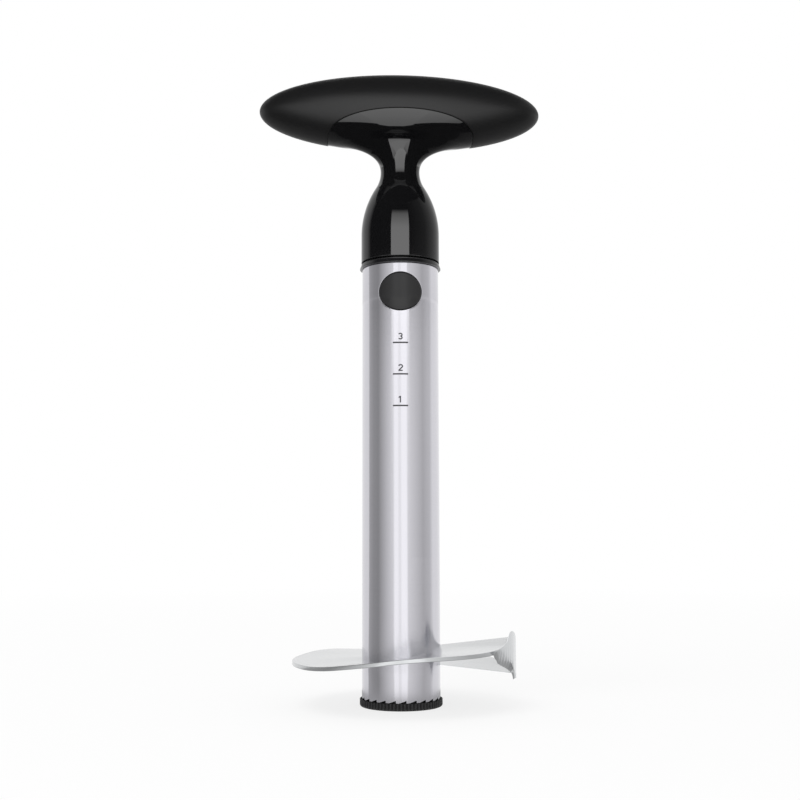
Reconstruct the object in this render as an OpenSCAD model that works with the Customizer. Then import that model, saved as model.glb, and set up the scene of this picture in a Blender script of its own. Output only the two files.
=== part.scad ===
// Pineapple slicer: a toothed coring tube with a spiral slicing blade, turned by a ratcheting T-handle.
// Millimetres. +Z is up along the tube's axis, and the origin is the middle of the guard's bottom face.
// Seen from above, the slicer cuts when it is turned clockwise.

/* [Coring tube] */
// Outer diameter of the tube
tube_od = 31.8; // [30:0.1:36]
// Wall thickness of the tube
tube_wall = 0.8; // [0.5:0.1:1.2]
// Length of the tube from its tooth tips to its top edge
tube_len = 176.3; // [150:0.5:220]
// Number of saw teeth round the tube's lower edge
tooth_count = 24; // [12:1:36]
// Depth of the saw teeth
tooth_depth = 1.4; // [0.8:0.1:2.4]

/* [Slicing blade] */
// Outer diameter of the spiral blade
blade_od = 88.2; // [76:0.2:100]
// Thickness of the blade's sheet
blade_thick = 1.6; // [0.8:0.1:1.8]
// Height of the blade's leading outer corner above the tooth tips
blade_lift = 11.1; // [8:0.1:20]
// Rise of the blade's rim in one turn
rim_rise = 14.1; // [10:0.1:18]
// Rise of the blade's inner edge in one turn
root_rise = 7.7; // [6:0.1:10]
// Height of the inner edge above the rim at the leading end
lead_dip = 2.9; // [1:0.1:5]

/* [Peeling fin] */
// Thickness of the fin's sheet
fin_thick = 1.3; // [0.8:0.1:1.6]
// Height of the fin's top peak above the blade's leading corner
fin_peak = 17.3; // [15:0.1:24]
// Depth of the fin's bottom spike below the blade's leading corner
fin_spike = 3; // [1:0.1:4]
// Depth of the serrations on the fin's cutting edge
fin_tooth = 0.5; // [0.2:0.1:0.8]
// Width of the ground band at the forward end of the cutting edge
fin_grind = 4.3; // [2:0.1:5]
// How far the blade's rim swells out to carry the fin
fin_swell = 0.95; // [0.5:0.05:1.5]

/* [Tooth guard] */
// Thickness of the guard's floor under the tooth tips
guard_floor = 2.6; // [1.5:0.1:5]
// Height that the guard's rim covers above the tooth tips
guard_cover = 0.4; // [0.2:0.1:1.2]
// Wall of the guard's rim
guard_wall = 0.65; // [0.5:0.05:1.5]
// Height of the guard's plug above the tooth tips
guard_plug_h = 5; // [3:0.5:12]
// Wall of the guard's plug
guard_plug_wall = 1.7; // [1:0.1:3]
// Number of grip ribs round the guard
guard_ribs = 72; // [48:1:100]
// Depth of the grip ribs
guard_rib_depth = 0.3; // [0.15:0.05:0.4]

/* [Release buttons] */
// Width of a button round the tube
button_w = 17.3; // [13:0.1:18]
// Height of a button along the tube
button_h = 15.6; // [11:0.1:16]
// Distance of the buttons' middle below the tube's top edge
button_drop = 11.9; // [11:0.1:15]
// How far a button stands proud of the tube
button_proud = 0.2; // [0:0.05:0.6]
// Inward travel of a button
button_travel = 2.6; // [2:0.1:3]
// Width of the shoulder that keeps a button in
button_shoulder = 1.2; // [0.8:0.1:1.5]
// Thickness of a button's shoulder plate
button_plate = 1.8; // [1.4:0.1:2.4]
// Wire of a button spring
button_wire = 0.5; // [0.3:0.05:0.6]
// Outer diameter of a button spring
button_spring_od = 6.4; // [5:0.1:8]
// Turns of a button spring
button_spring_turns = 4; // [3:1:5]

/* [Drive plug] */
// Length of the plug inside the tube
plug_len = 27; // [26:0.5:34]
// Thickness of the plug's cover
cover_thick = 2.4; // [2:0.1:4]
// Thickness of the plug's head, which carries the pivot
head_thick = 5.5; // [4:0.1:8]
// Height of the collar between the tube and the handle
collar_h = 2; // [1.5:0.1:3]
// How far the collar's lip stands out past the tube
collar_lip = 0.95; // [0.6:0.05:1.4]
// Thickness of the web between the two button pockets
web_thick = 2; // [1.6:0.1:3]
// Diameter of the cover screws' shanks
cover_screw_d = 2; // [1.6:0.1:2.2]
// Length of the cover screws inside the plug
cover_screw_len = 8; // [6:0.5:14]

/* [Pivot] */
// Diameter of the pivot screw's shoulder
pivot_d = 5; // [4:0.1:5.4]
// Diameter of the pivot screw's threaded end
pivot_thread_d = 4; // [3:0.1:4.2]
// Length of the threaded end in the handle
pivot_thread_len = 11; // [8:0.5:13]
// Height of the pivot screw's head
pivot_head_h = 2.6; // [2:0.1:3]
// Wall of the pivot bush
bush_wall = 1.45; // [1:0.05:1.6]
// Thickness of the bush's flange
bush_flange = 1; // [0.6:0.1:1.4]
// Thickness of each washer on the pivot
washer_thick = 0.8; // [0.5:0.1:1.2]

/* [Ratchet] */
// Number of teeth in the ratchet ring
ratchet_teeth = 24; // [12:12:36]
// Depth of the ratchet teeth
ratchet_depth = 1.3; // [1:0.1:1.5]
// Height of the ratchet ring
ratchet_h = 6; // [4:0.5:8]
// Wall of the ratchet ring outside its teeth
ratchet_wall = 1.1; // [0.9:0.1:1.3]
// Diameter of the pawls' pins
pawl_pin_d = 2; // [1.6:0.1:2.2]
// Wall of a pawl round its pin
pawl_wall = 1.1; // [0.8:0.1:1.2]
// Thickness of the pawls' leaf springs
pawl_leaf = 0.3; // [0.2:0.05:0.4]

/* [Handle] */
// Length of the grip
grip_len = 118.9; // [100:0.1:140]
// Depth of the grip from front to back
grip_depth = 40; // [36:0.5:46]
// Height of the grip
grip_height = 31; // [27:0.2:36]
// Thickness of the soft grip over the handle's bar, at the top
grip_skin = 4; // [2.5:0.1:6]
// Angle of the grip from the line across the buttons
grip_turn = 3.3; // [0:0.1:45]
// Diameter of the handle's bell
bell_d = 32.6; // [32:0.1:36]
// Wall of the bell
bell_wall = 2.3; // [2:0.1:2.6]
// Height of the bell's straight part
bell_h = 12.1; // [11:0.1:16]
// Diameter of the neck
neck_d = 16.4; // [14:0.1:18]
// Height of the neck's narrowest place above the bell's lower edge
neck_h = 39.6; // [37:0.1:46]
// Radius of the hollow below the neck
neck_hollow = 13; // [10:0.5:16]
// Distance from the neck's narrowest place up to the grip's middle
grip_rise = 25.5; // [24:0.1:30]
// Length of the glossy saddle along the grip
saddle_len = 61; // [52:0.5:70]
// Height of the glossy saddle's arch on the grip's side
saddle_arch = 9.1; // [8:0.1:12]
// Length of the plain underside between the neck's flare and each end of the saddle
flare_land = 1.8; // [1:0.1:10]
// How far the side flares hang below the grip's curve
flare_drop = 1.4; // [0:0.1:1.8]
// How far the neck flares out to the front and back below the grip
flare_front = 1; // [0.5:0.1:4]

/* [Clearances] */
// Gap between parts that slide past each other, and round the soft grip
running_gap = 0.2; // [0.1:0.05:0.3]
// Gap between parts that are fixed to each other
fixed_gap = 0.05; // [0.02:0.01:0.1]
// Radial gap of the turning pivot and of the pawls on their pins
bearing_gap = 0.05; // [0.02:0.01:0.1]
// Gap between the turning bell and the fixed collar
collar_gap = 0.4; // [0.2:0.05:0.8]

/* [Hidden] */
$fn = 96;
steel = "#c9cacd";
bronze = "#b08d57";
black = "#141416";
soft_black = "#2b2b2d";
// How far a cut runs past the face that it opens
over = 1;

// Heights from the bottom of the guard
tip_z = guard_floor;
tube_top = tip_z + tube_len;
button_z = tube_top - button_drop;
collar_top = tube_top + collar_h;
bell_z = collar_top + collar_gap;
neck_z = bell_z + neck_h;
grip_z = neck_z + grip_rise;
blade_z = tip_z + blade_lift;

// Radii
tube_r = tube_od / 2;
bore_r = tube_r - tube_wall;
plug_r = bore_r - running_gap;
blade_r = blade_od / 2;
bell_r = bell_d / 2;
bell_bore_r = bell_r - bell_wall;
neck_r = neck_d / 2;

// A point at angle t, radius r and height z
function polar(t, r, z) = [r * cos(t), r * sin(t), z];

// Points of an ellipse that is w wide and h high
function oval(w, h, n = 64) = [for (i = [0:n - 1]) [w / 2 * cos(360 * i / n), h / 2 * sin(360 * i / n)]];

// Points of an arc of radius r round c, from angle t0 to t1
function arc(c, r, t0, t1, n = 12) =
    [for (i = [0:n]) let (t = t0 + (t1 - t0) * i / n) [c.x + r * cos(t), c.y + r * sin(t)]];

// Triangles that join n sections of k points in a row, with both ends closed
function row_faces(n, k) = concat(
    [for (i = [0:n - 2], j = [0:k - 1]) [i * k + j, (i + 1) * k + j, i * k + (j + 1) % k]],
    [for (i = [0:n - 2], j = [0:k - 1]) [(i + 1) * k + j, (i + 1) * k + (j + 1) % k, i * k + (j + 1) % k]],
    [for (j = [1:k - 2]) [0, j, j + 1]],
    [for (j = [1:k - 2]) [(n - 1) * k, (n - 1) * k + j + 1, (n - 1) * k + j]]);

// A solid through a row of sections, each a list of points
module lofted(sections)
    polyhedron([for (s = sections, p = s) p], row_faces(len(sections), len(sections[0])));

// Stands a shape drawn on the floor upright at height z, with its extrusion towards the front (-Y)
module facing_front(z)
    translate([0, 0, z]) rotate([90, 0, 0]) children();

// Draws a shape once, and once more turned half round the tube's axis
module both_sides()
    for (turn = [0, 180]) rotate([0, 0, turn]) children();

// Coring tube

tooth_w = 2 * PI * tube_r / tooth_count;
tooth_tip_w = 0.15;

module tooth_gap() {
    translate([0, over - bore_r, tip_z]) rotate([90, 0, 0]) linear_extrude(tube_wall + 2 * over)
        polygon([[-tooth_w / 2, -over], [-tooth_w / 2, 0], [tooth_w / 2 - tooth_tip_w, tooth_depth],
            [tooth_w / 2, tooth_depth], [tooth_w / 2, -over]]);
}

// Outline of a button's hole, in the tube and in the plug
module button_hole()
    polygon(oval(button_w + 2 * running_gap, button_h + 2 * running_gap));

module core_tube() {
    color(steel) difference() {
        translate([0, 0, tip_z]) cylinder(h = tube_len, r = tube_r);
        translate([0, 0, tip_z - over]) cylinder(h = tube_len + 2 * over, r = bore_r);
        for (i = [0:tooth_count - 1]) rotate([0, 0, 360 * i / tooth_count]) tooth_gap();
        facing_front(button_z) linear_extrude(2 * tube_r + 2 * over, center = true) button_hole();
    }
}

// Spiral blade: it starts at its leading edge on the right and climbs counter-clockwise from above

blade_lead = -6;
blade_trail = 358;
blade_step = 4;
blade_bevel = 36;
edge_share = 0.15;
blade_root_r = tube_r / cos(blade_step / 2) + fixed_gap;
// Share of the rim's rise against the angle from the right
rim_shape = [[-20, -0.07], [0, 0], [40, 0.29], [112, 0.31], [135, 0.43], [165, 0.345], [222, 0.335],
    [275, 0.7], [325, 0.745], [360, 1], [380, 1.07]];
// Share of the inner edge's rise against that angle
root_shape = [[-20, -0.05], [0, 0], [180, 0.4], [240, 0.29], [280, 0.53], [320, 0.84], [360, 1], [380, 1.05]];
// Share of the rim's swell against that angle
swell_shape = [[10, 1], [45, 0], [275, 0], [318, 1]];
ease_span = 12;

function eased(t, table) = (lookup(t - ease_span, table) + lookup(t - ease_span / 2, table)
    + lookup(t, table) + lookup(t + ease_span / 2, table) + lookup(t + ease_span, table)) / 5;
function rim_height(t) = blade_z + rim_rise * eased(t, rim_shape);
function root_height(t) = blade_z + lead_dip + root_rise * eased(t, root_shape);
function rim_radius(t) = blade_r + fin_swell * eased(t, swell_shape);
// Thickness of the sheet, ground thin at the leading edge
function blade_sheet(t) = blade_thick
    * min(1, edge_share + (1 - edge_share) * (t - blade_lead) / blade_bevel);
function blade_section(t) = let (root = root_height(t), rim = rim_height(t), sheet = blade_sheet(t))
    [polar(t, blade_root_r, root - sheet), polar(t, blade_root_r, root),
        polar(t, rim_radius(t), rim), polar(t, rim_radius(t), rim - sheet)];

module slicing_blade() {
    color(steel) lofted([for (t = [blade_lead:blade_step:blade_trail]) blade_section(t)]);
}

// Peeling fin: a curved plate outside the blade's rim, where its two ends pass each other

fin_r = blade_r + fin_swell + fixed_gap;
fin_front = -40;
fin_back = 10;
fin_step = 0.45;
fin_pitch = 2.7;
serrated_to = -13;
grind_span = 22;
// Height of the fin's forward tip, at the upper end of the blade's rim
fin_tip_z = rim_height(360 + fin_front);
// Thickness that is left at the cutting edge and at the upper edge, which is bevelled from inside
fin_edge = 0.15;
fin_bevel = 3;
// Upper and lower edges of the fin against the angle from the right
fin_top = [[fin_front, fin_tip_z], [-33, blade_z + 0.68 * fin_peak], [-27, blade_z + 0.79 * fin_peak],
    [-24.5, blade_z + 0.965 * fin_peak], [-19.5, blade_z + fin_peak], [-12.7, blade_z + 0.92 * fin_peak],
    [-5, blade_z + 0.74 * fin_peak], [4, blade_z + 0.5 * fin_peak], [fin_back, blade_z + 0.32 * fin_peak]];
fin_low = [[fin_front, fin_tip_z - 2 * fin_edge], [-34.5, blade_z + 0.335 * fin_peak],
    [-27.5, blade_z + 0.235 * fin_peak], [-16, blade_z + 0.06 * fin_peak], [-6, blade_z - fin_spike],
    [-4, blade_z - fin_spike], [0, blade_z], [fin_back, blade_z + 0.27 * fin_peak]];

function serration(t) = t > serrated_to ? 0
    : fin_tooth * abs((t - fin_front) % fin_pitch - fin_pitch / 2) / (fin_pitch / 2);
// Height of the ground band on the fin's outer side, at most h
function ground_band(t, h) = min(h, fin_grind * min(1, max(0.15, (serrated_to - t) / grind_span)));
function fin_section(t) = let (low = lookup(t, fin_low) - serration(t), top = lookup(t, fin_top),
        band = ground_band(t, 0.85 * (top - low)), bevel = min(fin_bevel, 0.9 * (top - low)))
    [polar(t, fin_r, low), polar(t, fin_r, top - bevel), polar(t, fin_r + fin_thick - fin_edge, top),
        polar(t, fin_r + fin_thick, top), polar(t, fin_r + fin_thick, low + band),
        polar(t, fin_r + fin_edge, low)];

module peeling_fin() {
    color(steel) lofted([for (t = [fin_front:fin_step:fin_back]) fin_section(t)]);
}

// Tooth guard: a ribbed cap whose plug fits the tube's bore

guard_r = tube_r + running_gap + guard_wall;
guard_rim_z = tip_z + guard_cover;
guard_edge = 0.8;
guard_bottom = 1.2;

function rib_points(r, n, depth) =
    [for (i = [0:2 * n - 1]) let (t = 180 * i / n, q = r - depth * (i % 2)) [q * cos(t), q * sin(t)]];

module tooth_guard() {
    body_r = guard_r - guard_rib_depth;
    plug_h = tip_z + guard_plug_h;
    color(black) difference() {
        union() {
            rotate_extrude() polygon([[0, 0], [body_r - guard_edge, 0], [body_r, guard_edge],
                [body_r, guard_rim_z], [0, guard_rim_z]]);
            translate([0, 0, guard_edge]) linear_extrude(guard_rim_z - guard_edge)
                polygon(rib_points(guard_r, guard_ribs, guard_rib_depth));
            translate([0, 0, guard_edge]) cylinder(h = plug_h - guard_edge, r = plug_r);
        }
        translate([0, 0, guard_bottom]) cylinder(h = plug_h, r = plug_r - guard_plug_wall);
        translate([0, 0, tip_z - fixed_gap]) difference() {
            cylinder(h = plug_h, r = tube_r + running_gap);
            translate([0, 0, -over]) cylinder(h = plug_h + 2 * over, r = plug_r);
        }
    }
}

// Heights and radii of the ratchet and the pivot, which the plug and the handle share

platform_rise = 1.6;
platform_z = bell_z + platform_rise;
platform_r = bell_bore_r - 2 * running_gap;
head_z = platform_z - head_thick;
bush_r = pivot_d / 2 + bearing_gap + bush_wall;
bush_flange_r = bush_r + bush_wall / 2;
thrust_z = platform_z + bush_flange + fixed_gap;
boss_z = thrust_z + washer_thick + fixed_gap;
boss_r = bush_flange_r - fixed_gap;
pivot_head_r = bush_r + running_gap;
// Room above and below the ratchet ring, and below the pivot screw's head
ring_room = 0.5;
head_room = 2;
ring_z = platform_z + ring_room;
ring_r = bell_bore_r - fixed_gap;
ring_root_r = ring_r - ratchet_wall;
ring_tip_r = ring_root_r - ratchet_depth;
ceiling_z = ring_z + ratchet_h + ring_room;
tooth_pitch = 360 / ratchet_teeth;
steep_share = 0.1;
// The pawls rest part of a tooth short of the steep faces that drive them
backlash = 0.46 * tooth_pitch;
pawl_reach = ring_root_r - ratchet_depth * (backlash / tooth_pitch - steep_share) / (1 - steep_share);
pawl_tip_r = pawl_reach - running_gap;
pin_r = pawl_pin_d / 2;
pawl_drop = 4.15;
pin_ring_r = ring_tip_r - pawl_drop;
pin_turn = 20;
pin_sink = 3.5;
pawl_hub_r = pin_r + bearing_gap + pawl_wall;
pawl_span = 40;
pawl_h = ratchet_h - 2 * running_gap;
ring_turn = pin_turn + pawl_span + backlash;

// Drive plug, which locks into the tube and carries the pawls

plug_z = tube_top - plug_len;
plate_w = button_w + 2 * button_shoulder;
plate_h = button_h + 2 * button_shoulder;
pocket_x = plate_w / 2 + running_gap;
pocket_top = button_z + plate_h / 2 + running_gap;
web_y = web_thick / 2;
pocket_wall = 1.2;
// The shoulder's seat is as far out as the pocket's corners leave a wall
seat_y = sqrt(pow(plug_r - pocket_wall, 2) - pow(pocket_x, 2));
plate_y = seat_y - fixed_gap - button_plate;
spring_sink = 1;
peg_r = button_spring_od / 2 - button_wire - running_gap;
peg_h = 1.2;
stop_r = 1.2;
stop_x = plate_w / 2 - 3 * stop_r;
screw_x = (pocket_x + plug_r) / 2;
screw_head_r = 0.95 * cover_screw_d;
screw_head_h = 1.2;

module plug_pocket() {
    translate([-pocket_x, -seat_y, plug_z - over])
        cube([2 * pocket_x, seat_y - web_y, pocket_top - plug_z + over]);
    facing_front(button_z) translate([0, 0, seat_y - over]) linear_extrude(plug_r) button_hole();
}

// What stands on the web in a pocket: a peg for the spring, and two stops that end the button's travel
module web_pegs() {
    facing_front(button_z) {
        cylinder(h = web_y + peg_h, r = peg_r);
        for (x = [-stop_x, stop_x]) translate([x, 0, 0])
            cylinder(h = plate_y - button_travel - fixed_gap, r = stop_r);
    }
}

module drive_plug() {
    lip_r = tube_r + collar_lip;
    lip_h = 0.35;
    color(black) union() {
        difference() {
            union() {
                translate([0, 0, plug_z]) cylinder(h = platform_z - plug_z, r = min(plug_r, platform_r));
                translate([0, 0, plug_z]) cylinder(h = plug_len + lip_h, r = plug_r);
                rotate_extrude() polygon([[0, tube_top], [lip_r, tube_top], [lip_r, tube_top + lip_h],
                    [bell_r, collar_top - lip_h], [bell_r, collar_top], [0, collar_top]]);
                both_sides() rotate([0, 0, pin_turn]) leaf_post();
            }
            both_sides() plug_pocket();
            translate([0, 0, head_z - pivot_head_h - head_room])
                cylinder(h = pivot_head_h + head_room, r = pivot_head_r + over);
            translate([0, 0, head_z - over]) cylinder(h = head_thick + 2 * over, r = bush_r + fixed_gap);
            both_sides() translate([screw_x, 0, plug_z - over])
                cylinder(h = cover_screw_len + 2 * over, r = cover_screw_d / 2 + fixed_gap);
            both_sides() rotate([0, 0, pin_turn]) translate([pin_ring_r, 0, platform_z - pin_sink])
                cylinder(h = pin_sink + over, r = pin_r + fixed_gap);
        }
        both_sides() web_pegs();
    }
}

module plug_cover() {
    color(black) difference() {
        translate([0, 0, plug_z - cover_thick]) cylinder(h = cover_thick, r = plug_r);
        both_sides() translate([screw_x, 0, plug_z - cover_thick - over]) {
            cylinder(h = cover_thick + 2 * over, r = cover_screw_d / 2 + fixed_gap);
            cylinder(h = over + screw_head_h, r = screw_head_r + fixed_gap);
        }
    }
}

module cover_screws() {
    color(steel) both_sides() translate([screw_x, 0, plug_z - cover_thick]) difference() {
        union() {
            cylinder(h = screw_head_h, r = screw_head_r);
            cylinder(h = cover_thick + cover_screw_len, r = cover_screw_d / 2);
        }
        translate([0, 0, -over]) cylinder(h = over + screw_head_h / 2, r = cover_screw_d / 3, $fn = 6);
    }
}

// Release buttons and their springs

module release_button() {
    color(soft_black) difference() {
        union() {
            intersection() {
                facing_front(button_z) translate([0, 0, plate_y]) linear_extrude(tube_r)
                    polygon(oval(button_w, button_h));
                translate([0, 0, button_z - button_h]) cylinder(h = 2 * button_h, r = tube_r + button_proud);
            }
            facing_front(button_z) translate([0, 0, plate_y]) linear_extrude(button_plate)
                polygon(oval(plate_w, plate_h));
        }
        facing_front(button_z) translate([0, 0, plate_y - over])
            cylinder(h = over + spring_sink, r = button_spring_od / 2 + running_gap);
    }
}

coil_rings = 10;
coil_sides = 6;

// A ring of the coil's wire, at share s of its length
function coil_section(s) =
    let (t = 360 * button_spring_turns * s, wire_r = button_wire / 2, mid_r = button_spring_od / 2 - wire_r,
        near = web_y + fixed_gap + wire_r, far = plate_y + spring_sink - fixed_gap - wire_r,
        y = -near - (far - near) * s)
    [for (j = [0:coil_sides - 1]) let (a = 360 * j / coil_sides, r = mid_r + wire_r * cos(a))
        [r * cos(t), y + wire_r * sin(a), button_z + r * sin(t)]];

module button_spring() {
    steps = button_spring_turns * coil_rings;
    color(steel) lofted([for (i = [0:steps]) coil_section(i / steps)]);
}

module front_button() release_button();
module rear_button() rotate([0, 0, 180]) release_button();
module front_button_spring() button_spring();
module rear_button_spring() rotate([0, 0, 180]) button_spring();

// Pawls, drawn with their pin on the +X axis, with their pins and leaf springs

pawl_face = 1.4;
hub_out = -10;
hub_in = 170;
function flat(t, r) = [r * cos(t), r * sin(t)];
pin_at = [pin_ring_r, 0];
pawl_tip = flat(pawl_span, pawl_tip_r);
pawl_heel = flat(pawl_span, pawl_tip_r - pawl_face);
pawl_inner = pin_at + flat(hub_in, pawl_hub_r);

module pawl() {
    color(steel) difference() {
        union() {
            translate([pin_ring_r, 0, ring_z]) cylinder(h = pawl_h, r = pawl_hub_r);
            translate([0, 0, ring_z]) linear_extrude(pawl_h)
                polygon([pin_at, pin_at + flat(hub_out, pawl_hub_r - fixed_gap), pawl_tip, pawl_heel,
                    pin_at + flat(hub_in, pawl_hub_r - fixed_gap)]);
        }
        translate([pin_ring_r, 0, ring_z - over]) cylinder(h = pawl_h + 2 * over, r = pin_r + bearing_gap);
    }
}

// Leaf spring: its fixed end sits in a slotted post, and its free end lies along the pawl's inner side
post_r = 1.1;
post_turn = 78;
post_at = flat(post_turn, pin_ring_r + post_r);
leaf_touch = 0.6;
leaf_lean = 16;
leaf_reach = 2.6;
side_turn = atan2(pawl_heel.y - pawl_inner.y, pawl_heel.x - pawl_inner.x);
leaf_end = pawl_inner + leaf_touch * (pawl_heel - pawl_inner)
    + (running_gap + pawl_leaf / 2) * [-sin(side_turn), cos(side_turn)];
leaf_bend = leaf_end + flat(side_turn + leaf_lean, leaf_reach);
leaf_steps = 8;
function bezier(a, b, c, s) = (1 - s) * (1 - s) * a + 2 * s * (1 - s) * b + s * s * c;
function leaf_line(s) = bezier(post_at, leaf_bend, leaf_end, s);
// Angle of the leaf's normal at share s of its length
function leaf_normal(s) = let (d = (1 - s) * (leaf_bend - post_at) + s * (leaf_end - leaf_bend))
    atan2(d.y, d.x) + 90;
function leaf_side(w) =
    [for (i = [0:leaf_steps]) let (s = i / leaf_steps) leaf_line(s) + flat(leaf_normal(s), w)];

module leaf_strip(w)
    polygon(concat(leaf_side(w / 2), [for (i = [leaf_steps:-1:0]) leaf_side(-w / 2)[i]]));

module leaf_post() {
    difference() {
        translate([post_at.x, post_at.y, platform_z - over]) cylinder(h = pawl_h + over, r = post_r);
        translate([0, 0, platform_z]) linear_extrude(pawl_h + over) leaf_strip(pawl_leaf + 2 * fixed_gap);
    }
}

module pawl_leaf() {
    color(steel) translate([0, 0, ring_z + over]) linear_extrude(pawl_h - 2 * over) leaf_strip(pawl_leaf);
}

module pawl_a() rotate([0, 0, pin_turn]) pawl();
module pawl_b() rotate([0, 0, pin_turn + 180]) pawl();
module pawl_leaf_a() rotate([0, 0, pin_turn]) pawl_leaf();
module pawl_leaf_b() rotate([0, 0, pin_turn + 180]) pawl_leaf();

module pawl_pins() {
    color(steel) both_sides() rotate([0, 0, pin_turn]) translate([pin_ring_r, 0, platform_z - pin_sink])
        cylinder(h = pin_sink + ring_z - platform_z + pawl_h + fixed_gap, r = pin_r);
}

// Pivot

module pivot_bush() {
    color(bronze) difference() {
        union() {
            translate([0, 0, head_z]) cylinder(h = head_thick, r = bush_r);
            translate([0, 0, platform_z]) cylinder(h = bush_flange, r = bush_flange_r);
        }
        translate([0, 0, head_z - over])
            cylinder(h = head_thick + bush_flange + 2 * over, r = pivot_d / 2 + bearing_gap);
    }
}

module washer(z, r) {
    color(steel) difference() {
        translate([0, 0, z]) cylinder(h = washer_thick, r = r);
        translate([0, 0, z - over]) cylinder(h = washer_thick + 2 * over, r = pivot_d / 2 + bearing_gap);
    }
}

pivot_washer_z = head_z - fixed_gap - washer_thick;
pivot_head_z = pivot_washer_z - fixed_gap - pivot_head_h;

module thrust_washer() washer(thrust_z, bush_flange_r);
module pivot_washer() washer(pivot_washer_z, pivot_head_r);

module pivot_screw() {
    shoulder_h = boss_z - pivot_head_z;
    color(steel) translate([0, 0, pivot_head_z]) difference() {
        union() {
            cylinder(h = pivot_head_h, r = pivot_head_r);
            cylinder(h = shoulder_h, r = pivot_d / 2);
            cylinder(h = shoulder_h + pivot_thread_len, r = pivot_thread_d / 2);
        }
        translate([0, 0, -over]) cylinder(h = over + pivot_head_h / 2, r = pivot_thread_d / 2, $fn = 6);
    }
}

// Ratchet ring, keyed into the handle's bell

key_w = 3;
key_h = 0.8;
keys = 4;

// The ring's keys from height z up, or with a gap round them the bell's keyways
module ring_keys(z, gap) {
    for (i = [0:keys - 1]) rotate([0, 0, 360 * i / keys])
        translate([ring_r - ratchet_wall / 2, -key_w / 2 - gap, z])
            cube([ratchet_wall / 2 + key_h + gap, key_w + 2 * gap, ring_z + ratchet_h + gap - z]);
}

module ratchet_ring() {
    teeth = [for (i = [0:ratchet_teeth - 1]) let (t = ring_turn + i * tooth_pitch)
        each [flat(t - steep_share * tooth_pitch, ring_root_r), flat(t, ring_tip_r)]];
    color(steel) difference() {
        union() {
            translate([0, 0, ring_z]) cylinder(h = ratchet_h, r = ring_r);
            rotate([0, 0, grip_turn]) ring_keys(ring_z, 0);
        }
        translate([0, 0, ring_z - over]) linear_extrude(ratchet_h + 2 * over) polygon(teeth);
    }
}

// Handle: a glossy core with bell, neck, saddle and bar, and a soft grip round the bar

grip_a = grip_len / 2;
grip_b = grip_depth / 2;
grip_c = grip_height / 2;
saddle_inset = 0.25;
saddle_a = saddle_len / 2;
// Height on the inset grip's underside at x and y
function under_z(x, y) = grip_z - (grip_c - saddle_inset)
    * sqrt(max(0, 1 - pow(x / (grip_a - saddle_inset), 2) - pow(y / (grip_b - saddle_inset), 2)));
// Depth of the inset grip's side at x and z
function side_y(x, z) = (grip_b - saddle_inset)
    * sqrt(max(0, 1 - pow(x / (grip_a - saddle_inset), 2) - pow((z - grip_z) / (grip_c - saddle_inset), 2)));
arch_z = under_z(saddle_a, 0);

saddle_cols = 48;
flare_rows = 6;
saddle_rows = 4;
neck_sink = 2;
neck_lap = 0.03;
function neck_point(t) = polar(t, neck_r - neck_lap, neck_z);
// Where the flare runs out into the grip's underside
function flare_end(t) = let (x = (saddle_a - flare_land) * cos(t), y = (neck_r + flare_front) * sin(t))
    [x, y, under_z(x, y)];
// Where the lines along the neck and along the underside meet
function flare_corner(t) = polar(t, neck_r, under_z(0, neck_r) - flare_drop * pow(cos(t), 2));
function flare_point(t, s) = bezier(neck_point(t), flare_corner(t), flare_end(t), s);
// The saddle's edge: an ellipse seen from the front, on the grip's surface
function saddle_edge(t) = let (x = saddle_a * cos(t), z = arch_z + saddle_arch * abs(sin(t)))
    [x, sign(sin(t)) * side_y(x, z), z];
function saddle_point(t, s) = let (p = (1 - s) * flare_end(t) + s * saddle_edge(t))
    s == 1 ? p : [p.x, p.y, under_z(p.x, p.y)];
saddle_turns = [for (i = [0:saddle_cols - 1]) 360 * i / saddle_cols];
saddle_grid = concat(
    [[for (t = saddle_turns) polar(t, neck_r - 5 * neck_lap, neck_z - neck_sink)]],
    [for (i = [0:flare_rows]) [for (t = saddle_turns) flare_point(t, i / flare_rows)]],
    [for (i = [1:saddle_rows]) [for (t = saddle_turns) saddle_point(t, i / saddle_rows)]]);

// Flared neck and saddle: rings from the neck up to the saddle's edge, closed on top by strips along Y
module saddle() {
    rows = len(saddle_grid);
    n = saddle_cols;
    top = (rows - 1) * n;
    half = n / 2;
    sides = [for (i = [0:rows - 2], j = [0:n - 1]) let (a = i * n + j, b = i * n + (j + 1) % n)
        each [[a, a + n, b + n], [a, b + n, b]]];
    bottom = [for (j = [1:n - 2]) [0, j, j + 1]];
    strips = [for (i = [1:half - 2]) let (back = top + i, front = top + n - i)
        each [[back, front, front - 1], [back, front - 1, back + 1]]];
    ends = [[top, top + n - 1, top + 1], [top + half, top + half - 1, top + half + 1]];
    polyhedron([for (row = saddle_grid, p = row) p], concat(sides, bottom, strips, ends));
}

// Bar inside the soft grip, a spindle along X
module grip_bar(gap) {
    long = grip_a - grip_skin + gap;
    thick = grip_c - grip_skin + gap;
    translate([0, 0, grip_z]) rotate([0, 90, 0]) rotate_extrude()
        polygon([for (i = [0:24]) let (t = -90 + 180 * i / 24) [thick * cos(t), long * sin(t)]]);
}

// Shoulder of the bell and hollow of the neck are two arcs that meet in line
neck_drop = neck_r - bell_r;
shoulder_z = bell_z + bell_h;
arc_sum = (pow(neck_drop, 2) + pow(neck_z - shoulder_z, 2)) / (-2 * neck_drop);
shoulder = arc_sum - neck_hollow;
meet_turn = atan2(neck_z - shoulder_z, arc_sum + neck_drop);
bell_edge = 0.4;

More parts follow.
